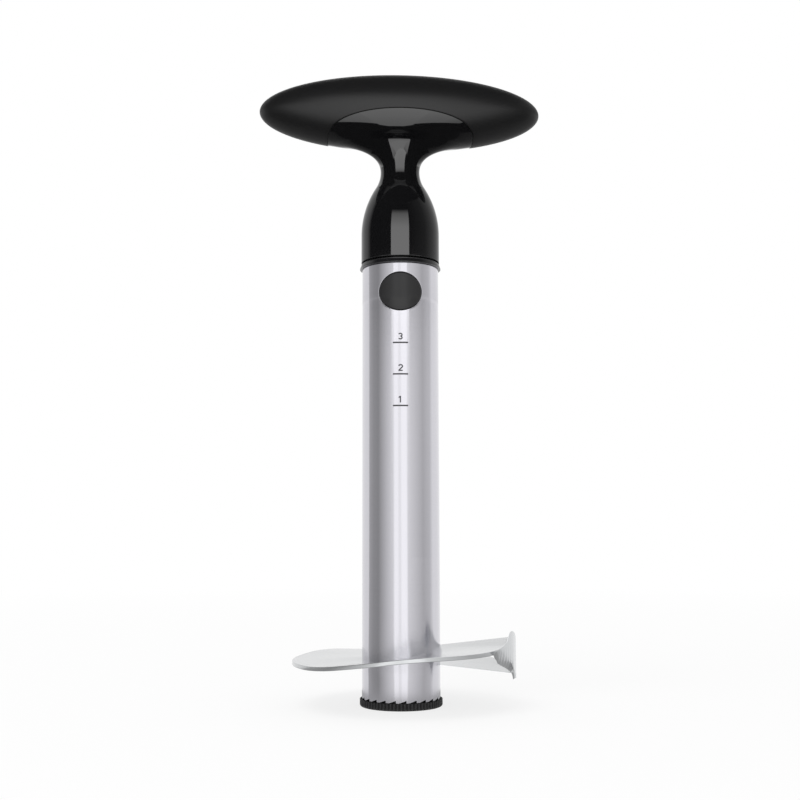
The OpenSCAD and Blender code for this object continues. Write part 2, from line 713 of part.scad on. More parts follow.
module bell() {
    rotate_extrude() polygon(concat(
        [[0, boss_z], [boss_r, boss_z], [boss_r, ceiling_z], [bell_bore_r, ceiling_z], [bell_bore_r, bell_z],
            [bell_r - bell_edge, bell_z], [bell_r, bell_z + bell_edge]],
        arc([bell_r - shoulder, shoulder_z], shoulder, 0, meet_turn),
        arc([neck_r + neck_hollow, neck_z], neck_hollow, 180 + meet_turn, 180, 10),
        [[0, neck_z]]));
}

module handle_core() {
    color(black) rotate([0, 0, grip_turn]) difference() {
        union() {
            bell();
            saddle();
            grip_bar(0);
        }
        translate([0, 0, boss_z - over])
            cylinder(h = pivot_thread_len + 2 * over, r = pivot_thread_d / 2 + fixed_gap);
        ring_keys(bell_z - over, fixed_gap);
    }
}

// Arch under the grip that the saddle fills, with a gap round it
module saddle_arch_cut() {
    a = saddle_a + running_gap;
    h = saddle_arch + running_gap;
    crown = [for (i = [0:saddle_cols / 2]) let (t = 360 * i / saddle_cols) [a * cos(t), h * sin(t)]];
    facing_front(arch_z) linear_extrude(grip_depth + 2 * over, center = true)
        polygon(concat([[a, -grip_height]], crown, [[-a, -grip_height]]));
}

grip_rings = 26;
grip_sides = 40;
grip_pole = 2;
// A ring of the grip's surface at angle t from its left end
function grip_section(t) = [for (j = [0:grip_sides - 1]) let (a = 360 * j / grip_sides)
    [-grip_a * cos(t), grip_b * sin(t) * cos(a), grip_z + grip_c * sin(t) * sin(a)]];

module soft_grip() {
    color(soft_black) rotate([0, 0, grip_turn]) difference() {
        lofted([for (i = [0:grip_rings]) grip_section(grip_pole + (180 - 2 * grip_pole) * i / grip_rings)]);
        saddle_arch_cut();
        grip_bar(running_gap);
    }
}

core_tube();
slicing_blade();
peeling_fin();
tooth_guard();
drive_plug();
plug_cover();
cover_screws();
front_button();
rear_button();
front_button_spring();
rear_button_spring();
pawl_a();
pawl_b();
pawl_pins();
pawl_leaf_a();
pawl_leaf_b();
pivot_bush();
thrust_washer();
pivot_screw();
pivot_washer();
ratchet_ring();
handle_core();
soft_grip();
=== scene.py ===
"""Pineapple slicer: steel, plastic and rubber pieces, their finishes and a plain studio, on the frame."""

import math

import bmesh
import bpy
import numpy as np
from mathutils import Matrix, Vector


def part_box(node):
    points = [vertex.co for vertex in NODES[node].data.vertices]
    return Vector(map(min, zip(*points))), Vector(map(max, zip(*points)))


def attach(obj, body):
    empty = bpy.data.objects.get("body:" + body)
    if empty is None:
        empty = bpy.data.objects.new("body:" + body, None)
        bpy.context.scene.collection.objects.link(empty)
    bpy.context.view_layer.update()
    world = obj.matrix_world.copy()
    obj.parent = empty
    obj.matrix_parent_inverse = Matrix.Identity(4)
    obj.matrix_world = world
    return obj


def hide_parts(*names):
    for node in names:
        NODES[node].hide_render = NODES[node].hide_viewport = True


bl_info = {
    "name": "Pineapple Slicer",
    "version": (1, 0, 0),
    "blender": (4, 5, 0),
    "location": "3D View > Sidebar > Slicer",
    "description": "Builds the pieces, finishes and studio of a pineapple slicer with a ratcheting T-handle",
    "category": "Object",
}

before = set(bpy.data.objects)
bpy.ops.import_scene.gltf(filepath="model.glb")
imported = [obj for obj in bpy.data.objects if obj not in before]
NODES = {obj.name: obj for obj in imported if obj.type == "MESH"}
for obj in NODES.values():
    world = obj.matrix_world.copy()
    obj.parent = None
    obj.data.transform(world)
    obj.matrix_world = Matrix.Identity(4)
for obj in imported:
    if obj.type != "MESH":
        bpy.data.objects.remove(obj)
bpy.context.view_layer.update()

MM = 0.001
FULL_TURN = 2 * math.pi
FRONT = -math.pi / 2

# Places that the pieces share with the frame
TUBE_LOW, TUBE_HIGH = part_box("core_tube")
BLADE_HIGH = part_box("slicing_blade")[1]
GUARD_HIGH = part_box("tooth_guard")[1]
BUTTON_LOW, BUTTON_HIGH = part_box("front_button")
HANDLE_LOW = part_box("handle_core")[0]
GRIP_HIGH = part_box("soft_grip")[1]
BOSS_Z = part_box("thrust_washer")[1].z + 0.05 * MM
CEILING_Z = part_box("ratchet_ring")[1].z + 0.5 * MM


# Properties


def length(name, description, metres):
    """A length that a user can change."""
    return bpy.props.FloatProperty(
        name=name, description=description, default=metres, unit="LENGTH", precision=5)


def turn(name, description, degrees):
    """An angle that a user can change, given in degrees."""
    return bpy.props.FloatProperty(
        name=name, description=description, default=math.radians(degrees), subtype="ANGLE")


def count(name, description, number):
    """A number of like things."""
    return bpy.props.IntProperty(name=name, description=description, default=number, min=3)


def factor(name, description, value, most=1.0):
    """A plain number from nothing to most."""
    return bpy.props.FloatProperty(
        name=name, description=description, default=value, min=0.0, max=most, subtype="FACTOR")


def colour(name, description, value):
    """A linear colour."""
    return bpy.props.FloatVectorProperty(
        name=name, description=description, default=value, size=3, min=0.0, max=1.0, subtype="COLOR")


class TubeSizes(bpy.types.PropertyGroup):
    """Sizes of the coring tube."""

    radius: length("Radius", "Outer radius of the tube", TUBE_HIGH.x)
    wall: length("Wall", "Wall of the tube", 0.8 * MM)
    tip: length("Tooth tips", "Height of the tooth tips", TUBE_LOW.z)
    top: length("Top", "Height of the tube's top edge", TUBE_HIGH.z)
    teeth: count("Teeth", "Saw teeth round the lower edge, a multiple of four", 24)
    tooth_depth: length("Tooth depth", "Depth of the saw teeth", 1.4 * MM)
    hole_gap: length("Hole gap", "Gap round a button in its hole", 0.2 * MM)
    edge: length("Edge", "Rounding of the holes and the top edge", 0.18 * MM)


class BladeSizes(bpy.types.PropertyGroup):
    """Sizes of the spiral blade."""

    radius: length("Radius", "Outer radius of the blade", BLADE_HIGH.y)
    thick: length("Thickness", "Thickness of the blade's sheet", 1.6 * MM)
    lead_z: length("Leading corner", "Height of the leading outer corner", 13.7 * MM)
    rim_rise: length("Rim rise", "Rise of the rim in one turn", 14.1 * MM)
    root_rise: length("Root rise", "Rise of the inner edge in one turn", 7.7 * MM)
    lead_dip: length("Leading dip", "Height of the inner edge above the rim at the leading end", 2.9 * MM)
    edge: length("Edge", "Rounding of the rim's two edges", 0.2 * MM)


class FinSizes(bpy.types.PropertyGroup):
    """Sizes of the peeling fin."""

    thick: length("Thickness", "Thickness of the fin's sheet", 1.3 * MM)
    step: length("Step", "How far the rim swells out to carry the fin", 0.95 * MM)
    peak: length("Peak", "Height of the top peak above the blade's leading corner", 17.3 * MM)
    spike: length("Spike", "Depth of the bottom spike below the blade's leading corner", 3 * MM)
    tooth: length("Serration", "Depth of the serrations", 0.5 * MM)
    scallop: length("Scallop", "Height of the scallops along the ground band", 1.7 * MM)
    pitch: turn("Serration pitch", "Angle from one serration to the next", 2.7)
    grind: length("Grind", "Width of the ground band at the fin's forward end", 4.3 * MM)


class GuardSizes(bpy.types.PropertyGroup):
    """Sizes of the tooth guard."""

    radius: length("Radius", "Radius over the ribs", GUARD_HIGH.x)
    rim: length("Rim", "Height of the rim", TUBE_LOW.z + 0.4 * MM)
    plug_top: length("Plug top", "Height of the plug inside the tube", GUARD_HIGH.z)
    ribs: count("Ribs", "Grip ribs round the guard", 72)
    rib_depth: length("Rib depth", "Depth of the ribs", 0.3 * MM)


class ButtonSizes(bpy.types.PropertyGroup):
    """Sizes of the two release buttons."""

    width: length("Width", "Width of a button round the tube", 17.3 * MM)
    height: length("Height", "Height of a button along the tube", 15.6 * MM)
    middle: length("Middle", "Height of the buttons' middle", (BUTTON_LOW.z + BUTTON_HIGH.z) / 2)
    proud: length("Proud", "How far a button stands out of the tube", 0.2 * MM)
    shoulder: length("Shoulder", "Width of the shoulder inside the tube", 1.2 * MM)
    plate: length("Plate", "Thickness of the shoulder plate", 1.8 * MM)
    edge: length("Edge", "Rounding of a button's face", 0.5 * MM)


class HandleSizes(bpy.types.PropertyGroup):
    """Sizes of the T-handle."""

    bell_d: length("Bell", "Diameter of the bell", 32.6 * MM)
    bell_wall: length("Bell wall", "Wall of the bell", 2.3 * MM)
    bell_h: length("Bell straight", "Height of the bell's straight part", 12.1 * MM)
    neck_d: length("Neck", "Diameter of the neck", 16.4 * MM)
    neck_h: length("Neck height", "Height of the neck's narrowest place above the bell's edge", 39.6 * MM)
    neck_hollow: length("Neck hollow", "Radius of the hollow below the neck", 13 * MM)
    grip_len: length("Grip length", "Length of the grip", 118.9 * MM)
    grip_depth: length("Grip depth", "Depth of the grip", 40 * MM)
    grip_height: length("Grip height", "Height of the grip", 31 * MM)
    grip_skin: length("Grip skin", "Thickness of the soft grip", 3 * MM)
    saddle_len: length("Saddle length", "Length of the glossy saddle along the grip", 61 * MM)
    saddle_arch: length("Saddle arch", "Height of the saddle's arch", 9.1 * MM)
    inset: length("Inset", "How far the saddle lies below the soft grip", 0.25 * MM)
    parting: length("Parting", "Gap between the saddle and the soft grip", 0.2 * MM)
    flare_land: length(
        "Flare land", "Plain underside between the flare and each end of the saddle", 1.8 * MM)
    flare_drop: length("Flare drop", "How far the side flares hang below the grip's curve", 1.4 * MM)
    flare_front: length("Front flare", "How far the neck flares out to the front", 1 * MM)
    turned: turn("Turn", "Angle of the grip from the line across the buttons", 3.3)


class MarkSizes(bpy.types.PropertyGroup):
    """Sizes of the depth scale on the tube."""

    first: length("First line", "Height of the lowest line", 120.25 * MM)
    step: length("Step", "Distance from line to line", 12.8 * MM)
    line_w: length("Line width", "Width of a line round the tube", 6.2 * MM)
    line_h: length("Line height", "Thickness of a line", 0.62 * MM)
    digit_w: length("Digit width", "Width of a numeral's box", 3.3 * MM)
    digit_h: length("Digit height", "Height of a numeral", 2.7 * MM)
    digit_rise: length("Digit rise", "Height of a numeral above its line", 1.2 * MM)
    stroke: length("Stroke", "Width of a numeral's strokes", 0.5 * MM)
    ink: length("Ink", "Thickness of the marks", 0.02 * MM)


class FinishColours(bpy.types.PropertyGroup):
    """Colours of the finishes."""

    tube: colour("Tube steel", "Polished steel of the tube", (0.598, 0.591, 0.630))
    blade: colour("Blade steel", "Satin steel of the blade and fin", (0.56, 0.57, 0.58))
    gloss: colour("Glossy plastic", "Polished black of the handle's core", (0.0045, 0.0045, 0.005))
    rubber: colour("Grip rubber", "Soft black of the grip", (0.0065, 0.0065, 0.0068))
    button: colour("Button plastic", "Dark grey of the buttons", (0.0095, 0.0095, 0.0102))
    # The guard's black is kept dark as painted shade in the rib grooves; the crests' colour below is a
    # painted highlight on the ribs.
    guard: colour("Guard plastic", "Black of the tooth guard", (0.0015, 0.0015, 0.0017))
    guard_crest_highlight: colour("Guard crests", "Painted highlight on the crests of the guard's ribs", (0.034, 0.034, 0.036))
    plug: colour("Plug plastic", "Black of the drive plug and its collar", (0.008, 0.008, 0.009))
    ink: colour("Scale ink", "Dark grey of the depth scale", (0.048, 0.048, 0.053))
    hard_steel: colour("Hard steel", "Screws, springs, pawls and ratchet", (0.52, 0.52, 0.54))
    bronze: colour("Bronze", "The pivot's bush", (0.48, 0.30, 0.13))


class StageSettings(bpy.types.PropertyGroup):
    """Camera and light."""

    lens: bpy.props.FloatProperty(
        name="Lens", description="Focal length of the camera", default=53.1, subtype="DISTANCE_CAMERA")
    distance: length("Distance", "Distance of the camera from the tube's axis", 487.3 * MM)
    height: length("Height", "Height of the camera", 72.9 * MM)
    aside: length("Aside", "How far the camera stands to the left", 0.35 * MM)
    tilt: turn("Tilt", "How far the camera looks up", 6.0)
    roll: turn("Roll", "How far the camera leans", 0.13)
    sky: factor("Sky", "Strength of the even light", 0.8)
    key: bpy.props.FloatProperty(
        name="Key", description="Power of the key lamp", default=9.0, min=0.0, unit="POWER")
    floor: colour("Floor", "Colour of the floor", (0.9, 0.9, 0.9))


GROUPS = {
    "tube": TubeSizes,
    "blade": BladeSizes,
    "fin": FinSizes,
    "guard": GuardSizes,
    "button": ButtonSizes,
    "handle": HandleSizes,
    "mark": MarkSizes,
    "colours": FinishColours,
    "stage": StageSettings,
}


class SlicerSettings(bpy.types.PropertyGroup):
    """All sizes, colours and stage settings of the slicer."""

    tube: bpy.props.PointerProperty(type=TubeSizes)
    blade: bpy.props.PointerProperty(type=BladeSizes)
    fin: bpy.props.PointerProperty(type=FinSizes)
    guard: bpy.props.PointerProperty(type=GuardSizes)
    button: bpy.props.PointerProperty(type=ButtonSizes)
    handle: bpy.props.PointerProperty(type=HandleSizes)
    mark: bpy.props.PointerProperty(type=MarkSizes)
    colours: bpy.props.PointerProperty(type=FinishColours)
    stage: bpy.props.PointerProperty(type=StageSettings)


# Surfaces

MERGE = 1e-7
SHARP = math.radians(38)


def ring_angles(number):
    """Evenly spaced angles round a full turn, without the last."""
    return np.arange(number) * FULL_TURN / number


def arc(centre, radius, start, stop, number):
    """Points of an arc: the centre plus the radius times cosine and sine of angles in degrees."""
    angle = np.radians(np.linspace(start, stop, number))
    return np.stack([centre[0] + radius * np.cos(angle), centre[1] + radius * np.sin(angle)], axis=-1)


def polar(angle, radius, height):
    """Points at an angle, radius and height: x is r cos t, y is r sin t."""
    return np.stack(np.broadcast_arrays(radius * np.cos(angle), radius * np.sin(angle), height), axis=-1)


def spun(profile, angles):
    """A profile of radius and height rows carried round the Z axis."""
    return polar(angles[None, :], profile[:, :1], profile[:, 1:])


def grid(points, closed=False):
    """The points of a grid and its quads. Closed joins the last column to the first."""
    index = np.arange(points.shape[0] * points.shape[1]).reshape(points.shape[:2])
    if closed:
        index = np.concatenate([index, index[:, :1]], axis=1)
    corners = [index[:-1, :-1], index[:-1, 1:], index[1:, 1:], index[1:, :-1]]
    return points.reshape(-1, 3), np.stack(corners, axis=-1).reshape(-1, 4)


def joined(grids):
    """Several grids as one: all their points, and their quads counted on from grid to grid."""
    starts = np.cumsum([0] + [len(points) for points, _ in grids[:-1]])
    points = np.concatenate([points for points, _ in grids])
    return points, np.concatenate([faces + start for (_, faces), start in zip(grids, starts)])


def raw_mesh(name, grids):
    """One mesh of several grids, just as they are."""
    points, quads = joined(grids)
    mesh = bpy.data.meshes.new(name)
    mesh.from_pydata(points.tolist(), [], quads.tolist())
    return mesh


def joined_mesh(name, grids):
    """One mesh of several grids: shared seams and poles are merged, and faces point outwards."""
    mesh = raw_mesh(name, grids)
    work = bmesh.new()
    work.from_mesh(mesh)
    bmesh.ops.remove_doubles(work, verts=work.verts, dist=MERGE)
    bmesh.ops.recalc_face_normals(work, faces=work.faces)
    work.to_mesh(mesh)
    work.free()
    mesh.shade_smooth()
    mesh.set_sharp_from_angle(angle=SHARP)
    return mesh


def put_object(context, name, data):
    """A new object of the scene."""
    made = bpy.data.objects.new(name, data)
    context.scene.collection.objects.link(made)
    return made


def put_piece(context, name, grids, finish, body, slot, *replaced):
    """A new piece that rides on a body, takes a finish and stands for the replaced nodes."""
    piece = put_object(context, name, joined_mesh(name, grids))
    piece.data.materials.append(finish)
    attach(piece, body)
    if replaced:
        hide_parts(*replaced)
    return piece


# Coring tube

TOOTH_STATIONS = np.append(np.arange(8) / 8, 0.99)
TOOTH_FLAT = 0.036
HOLE_MARGIN = 1.6 * MM
HOLE_ROWS = 14


def tube_stations(tube):
    """Angles round the tube from an eighth of a turn left of the front, with the saw edge's height at each.

    A tooth starts at its tip, climbs evenly to its root and drops back at once, as a saw's tooth does.
    """
    pitch = FULL_TURN / tube.teeth
    tooth = np.arange(tube.teeth)[:, None]
    angle = (FRONT - pitch / 2 + pitch * (tooth + TOOTH_STATIONS)).ravel()
    climb = np.tile(np.minimum(1, TOOTH_STATIONS / (1 - TOOTH_FLAT)), tube.teeth)
    start = FRONT - FULL_TURN / 8
    offset = (angle - start + 1e-6) % FULL_TURN - 1e-6
    order = np.argsort(offset)
    return start + offset[order], tube.tip + tube.tooth_depth * climb[order]


def tube_below(tube, angles, saw, low):
    """The tube below its holes: inner wall down to the saw edge, then the outer wall up again."""
    inner = tube.radius - tube.wall
    levels = np.linspace(low, tube.tip + 4 * tube.tooth_depth, 6)
    heights = np.concatenate([np.repeat(levels[:, None], len(angles), axis=1), saw[None, :]])
    heights = np.concatenate([heights, heights[::-1]])
    radii = np.repeat([inner, tube.radius], len(levels) + 1)[:, None]
    return grid(polar(angles[None, :], radii, heights), closed=True)


def tube_above(tube, angles, high):
    """The tube above its holes: outer wall, rounded top edge, inner wall."""
    inner, edge = tube.radius - tube.wall, tube.edge
    outside = arc((tube.radius - edge, tube.top - edge), edge, 0, 90, 5)
    inside = arc((inner + edge, tube.top - edge), edge, 90, 180, 5)
    below = tube.top - 2 * edge
    profile = np.concatenate([[[tube.radius, high], [tube.radius, below]], outside,
                              inside, [[inner, below], [inner, high]]])
    return grid(spun(profile, angles), closed=True)


def tube_sides(tube, angles, levels):
    """A stretch of plain wall between the holes, outside and inside."""
    walls = (tube.radius, tube.radius - tube.wall)
    return [grid(polar(angles[None, :], radius, levels[:, None])) for radius in walls]


def tube_hole(tube, button, angles, levels):
    """A patch of wall with an oval hole.

    Its rows lead from the patch's rim along the inner wall to the oval, out through the hole with rounded
    edges, and along the outer wall back to the rim. A row is the oval, grown a little, blended towards the
    rim.
    """
    left, right, middle = angles[0], angles[-1], (angles[0] + angles[-1]) / 2
    rim_angle = np.concatenate([angles[:-1], np.full(len(levels) - 1, right),
                                angles[:0:-1], np.full(len(levels) - 1, left)])
    rim_z = np.concatenate([np.full(len(angles) - 1, levels[0]), levels[:-1],
                            np.full(len(angles) - 1, levels[-1]), levels[:0:-1]])
    centre_z = (levels[0] + levels[-1]) / 2
    round_turn = np.arctan2((rim_z - centre_z) / (levels[-1] - centre_z),
                            (rim_angle - middle) / (right - middle))
    half_w = button.width / 2 + tube.hole_gap
    half_h = button.height / 2 + tube.hole_gap
    inner, edge = tube.radius - tube.wall, tube.edge
    spread = np.linspace(1, 0, HOLE_ROWS)
    inside = np.stack([np.full(HOLE_ROWS, inner), np.full(HOLE_ROWS, edge), spread], axis=-1)
    corner_in = arc((inner + edge, edge), edge, 180, 270, 4)
    corner_out = arc((tube.radius - edge, edge), edge, 270, 360, 6)
    corners = np.concatenate([corner_in, corner_out])
    corners = np.concatenate([corners, np.zeros((len(corners), 1))], axis=1)
    outside = inside[::-1] * [0, 1, 1] + [tube.radius, 0, 0]
    radius, grow, blend = np.concatenate([inside, corners, outside])[:, :, None].transpose(1, 0, 2)
    oval_angle = middle + np.arcsin((half_w + grow) * np.cos(round_turn) / tube.radius)
    oval_z = button.middle + (half_h + grow) * np.sin(round_turn)
    angle = oval_angle + blend * (rim_angle - oval_angle)
    height = oval_z + blend * (rim_z - oval_z)
    return grid(polar(angle, radius, height), closed=True)


# Spiral blade and peeling fin

BLADE_LEAD, BLADE_TRAIL = -6, 358
BLADE_BEVEL = 36
EDGE_SHARE = 0.15
EASE = np.linspace(-12, 12, 5)
FIN_EASE = np.linspace(-1, 1, 5)
# Shares of the rim's and the root's rise against the angle from the right, in degrees
RIM_ANGLES = (-20, 0, 40, 112, 135, 165, 222, 275, 325, 360, 380)
RIM_SHARES = (-0.07, 0, 0.29, 0.31, 0.43, 0.345, 0.335, 0.7, 0.745, 1, 1.07)
ROOT_ANGLES = (-20, 0, 180, 240, 280, 320, 360, 380)
ROOT_SHARES = (-0.05, 0, 0.4, 0.29, 0.53, 0.84, 1, 1.05)
# The rim swells out to the fin between these angles and is plain between the inner two
SWELL_ANGLES = (10, 45, 275, 318)
FIN_START, FIN_END = -40, 10
FIN_PLAIN_FROM = -13
FIN_GRIND_SPAN = 22
FIN_GAP = 0.05 * MM
FIN_EDGE = 0.15 * MM
FIN_BEVEL = 3 * MM


def eased(degrees, angles, shares, span=EASE):
    """Shares looked up at angles and averaged over a small span, so that their corners are eased."""
    return np.interp(np.asarray(degrees)[..., None] + span, angles, shares).mean(axis=-1)


def rim_height(blade, degrees):
    """Height of the blade's rim: its share of the rise above the leading corner."""
    return blade.lead_z + blade.rim_rise * eased(degrees, RIM_ANGLES, RIM_SHARES)


def root_height(blade, degrees):
    """Height of the blade's inner edge: its share of the rise above the leading dip."""
    return blade.lead_z + blade.lead_dip + blade.root_rise * eased(degrees, ROOT_ANGLES, ROOT_SHARES)


def spiral_blade(blade, fin, root_r):
    """A ruled sheet that climbs round the tube.

    Its top runs straight from the root's height to the rim's height at every angle, its rim is rounded, and
    the sheet is ground thin towards the leading edge. Both ends close on the sheet's middle.
    """
    degrees = np.linspace(BLADE_LEAD, BLADE_TRAIL, 365)
    corner = blade.edge
    rim = np.linspace(root_r, blade.radius - corner, 12)
    straight = np.append(rim[:-1], [blade.radius - 1.3 * corner, blade.radius - corner])
    top = np.stack([straight, np.zeros(13)], axis=-1)
    upper = arc((blade.radius - corner, -corner), corner, 90, 0, 6)
    lower = arc((blade.radius - corner, corner - blade.thick), corner, 0, -90, 6)
    bottom = np.stack([straight[::-1], np.full(13, -blade.thick)], axis=-1)
    radius, drop = np.concatenate([top, upper[1:], lower, bottom[1:]]).T
    across = (radius - root_r) / (blade.radius - root_r)
    swell = fin.step * eased(degrees, SWELL_ANGLES, (1, 0, 0, 1))
    root, rim = root_height(blade, degrees), rim_height(blade, degrees)
    sheet = np.minimum(1, EDGE_SHARE + (1 - EDGE_SHARE) * (degrees - BLADE_LEAD) / BLADE_BEVEL)
    height = root[:, None] + (rim - root)[:, None] * across
    turns = np.radians(degrees)[:, None]
    reach = radius + swell[:, None] * across
    points = polar(turns, reach, height + sheet[:, None] * drop)
    ends = polar(turns, reach, height - sheet[:, None] * blade.thick / 2)
    return grid(np.concatenate([ends[:1], points, ends[-1:]]), closed=True)


def peeling_fin(fin, blade):
    """A curved plate outside the rim whose height runs between two outlines against the angle.

    Its upper edge is thinned from inside. Along the serrated stretch its outer face is ground back to the
    inner one, in a band that narrows towards the spike. Both the edge and the band's upper limit go up and
    down like a row of teeth.
    """
    degrees = np.linspace(FIN_START, FIN_END, 401)
    tip = float(rim_height(blade, 360 + FIN_START))
    base, peak = blade.lead_z, fin.peak
    top = eased(degrees, (FIN_START, -33, -27, -24.5, -19.5, -12.7, -5, 4, FIN_END),
                (tip, base + 0.68 * peak, base + 0.79 * peak, base + 0.965 * peak, base + peak,
                 base + 0.92 * peak, base + 0.74 * peak, base + 0.5 * peak, base + 0.32 * peak), FIN_EASE)
    low = eased(degrees, (FIN_START, -34.5, -27.5, -16, -6, -4, 0, FIN_END),
                (tip - FIN_EDGE, base + 0.335 * peak, base + 0.235 * peak, base + 0.06 * peak,
                 base - fin.spike, base - fin.spike, base, base + 0.27 * peak), FIN_EASE)
    pitch = math.degrees(fin.pitch)
    saw = np.abs((degrees - FIN_START) / pitch % 1 - 0.5) * 2
    ground = np.clip((FIN_PLAIN_FROM - degrees) / FIN_GRIND_SPAN, 0, 1)
    low = low - fin.tooth * saw * np.minimum(1, 4 * ground)
    scallops = fin.scallop * saw * np.minimum(1, 3 * ground)
    band = np.minimum(0.85 * (top - low), fin.grind * np.maximum(ground, 0.15) + scallops)
    inner = blade.radius + fin.step + FIN_GAP
    outer = inner + fin.thick
    thin = np.minimum(0.9 * (top - low), FIN_BEVEL)
    radius = [inner, inner, outer - FIN_EDGE, outer, outer, inner + FIN_EDGE]
    height = [low, top - thin, top, top, low + band, low]
    points = polar(np.radians(degrees)[:, None], np.array(radius), np.stack(height, axis=-1))
    ends = points[[0, -1]].mean(axis=1, keepdims=True).repeat(points.shape[1], axis=1)
    return grid(np.concatenate([ends[:1], points, ends[1:]]), closed=True)


# Tooth guard

RIB_STEPS = 8
GUARD_PLAY = 0.2 * MM
GUARD_FLOOR_GAP = 0.05 * MM
CUP_WALL = 1.7 * MM
CUP_FLOOR = 1.2 * MM
FOOT_ROUND = 0.8 * MM
CROWN_ROUND = 0.2 * MM


def ribbed_guard(guard, tube):
    """A cap turned about Z whose outer wall goes in and out like a row of round ribs.

    The wall's radius is lowered by the rib depth times a smooth wave of the angle, weighted along the
    profile.
    """
    angles = ring_angles(guard.ribs * RIB_STEPS)
    plug_r = tube.radius - tube.wall - GUARD_PLAY
    groove_r = tube.radius + GUARD_PLAY
    floor_z, cup_r = tube.tip - GUARD_FLOOR_GAP, plug_r - CUP_WALL
    foot, crown = FOOT_ROUND, CROWN_ROUND
    foot_arc = arc((guard.radius - foot, foot), foot, -90, 0, 7)
    crown_arc = arc((guard.radius - crown, guard.rim - crown), crown, 0, 90, 4)
    wall = [[guard.radius, 1.2 * foot], [guard.radius, guard.rim - 1.5 * crown]]
    outside = np.concatenate([[[0, 0], [guard.radius - 4 * foot, 0]], foot_arc, wall, crown_arc])
    inside = np.array([[groove_r, guard.rim], [groove_r, floor_z], [plug_r, floor_z],
                       [plug_r, guard.plug_top], [cup_r, guard.plug_top], [cup_r, CUP_FLOOR],
                       [0, CUP_FLOOR]])
    profile = np.concatenate([outside, inside])
    weight = np.zeros(len(profile))
    weight[4:len(outside) - 1] = 1
    wave = 0.5 - 0.5 * np.cos(angles * guard.ribs)
    radius = profile[:, :1] - guard.rib_depth * weight[:, None] * wave ** 1.5
    return grid(polar(angles[None, :], radius, profile[:, 1:]), closed=True)


# Release buttons

SPRING_SEAT_R = 3.4 * MM
SPRING_SEAT_DEPTH = 1 * MM


def release_button(button, tube, side):
    """An oval push button: rings from its face's middle out to the rim, then back along its shoulder plate.

    Each ring is an ellipse. On the face its depth follows the tube's curve; behind that its depth is fixed.
    """
    angles = ring_angles(96)
    half_w, half_h, edge = button.width / 2, button.height / 2, button.edge
    back = -BUTTON_HIGH.y
    front = back + button.plate
    grow = np.concatenate([np.full(7, -edge), arc((-edge, 0), edge, 90, 0, 7)[1:, 0]])
    scale = np.concatenate([np.linspace(0, 1, 7), np.ones(6)])
    sink = np.concatenate([np.zeros(7), edge - arc((0, 0), edge, 90, 0, 7)[1:, 1]])
    face_w, face_h = scale * (half_w + grow), scale * (half_h + grow)
    wide_w, wide_h = half_w + button.shoulder, half_h + button.shoulder
    seat_r, seat_z = SPRING_SEAT_R, back + SPRING_SEAT_DEPTH
    rest = np.array([[half_w, half_h, front], [wide_w, wide_h, front], [wide_w, wide_h, back],
                     [seat_r, seat_r, back], [seat_r, seat_r, seat_z], [0, 0, seat_z]])
    face_x = face_w[:, None] * np.cos(angles)
    depth = np.sqrt((tube.radius + button.proud) ** 2 - face_x ** 2) - sink[:, None]
    x = np.concatenate([face_x, rest[:, :1] * np.cos(angles)])
    z = np.concatenate([face_h[:, None] * np.sin(angles), rest[:, 1:2] * np.sin(angles)])
    y = np.concatenate([depth, np.repeat(rest[:, 2:], len(angles), axis=1)])
    return grid(np.stack([-side * x, side * y, button.middle + z], axis=-1), closed=True)


# Handle

HANDLE_COLUMNS = 192
BOSS_R = 4.675 * MM
BELL_EDGE = 0.45 * MM
GRIP_ROLL = 0.3 * MM
SADDLE_SUNK = 0.85


def half_sizes(handle, inset):
    """Half length, half depth and half height of the grip's ellipsoid, less an inset."""
    return np.array([handle.grip_len, handle.grip_depth, handle.grip_height]) / 2 - inset


def grip_middle(handle):
    """Height of the grip's middle."""
    return GRIP_HIGH.z - handle.grip_height / 2


def underside(handle, x, y):
    """Height of the inset ellipsoid's lower half at x and y."""
    a, b, c = half_sizes(handle, handle.inset)
    return grip_middle(handle) - c * np.sqrt(np.clip(1 - (x / a) ** 2 - (y / b) ** 2, 0, 1))


def arch_edge(handle, turns, gap, inset):
    """The arch where saddle and grip meet: an ellipse seen from the front, laid on the ellipsoid's side."""
    a, b, c = half_sizes(handle, inset)
    half = handle.saddle_len / 2
    foot = float(underside(handle, np.float64(half), 0.0))
    x = (half + gap) * np.cos(turns)
    z = foot + (handle.saddle_arch + gap) * np.abs(np.sin(turns))
    level = (z - grip_middle(handle)) / c
    y = np.sign(np.sin(turns)) * b * np.sqrt(np.clip(1 - (x / a) ** 2 - level ** 2, 0, 1))
    return np.stack([x, y, z], axis=-1)


def turned(points, angle):
    """Points turned about Z by an angle."""
    x, y, z = np.moveaxis(points, -1, 0)
    cosine, sine = np.cos(angle), np.sin(angle)
    return np.stack([x * cosine - y * sine, x * sine + y * cosine, z], axis=-1)


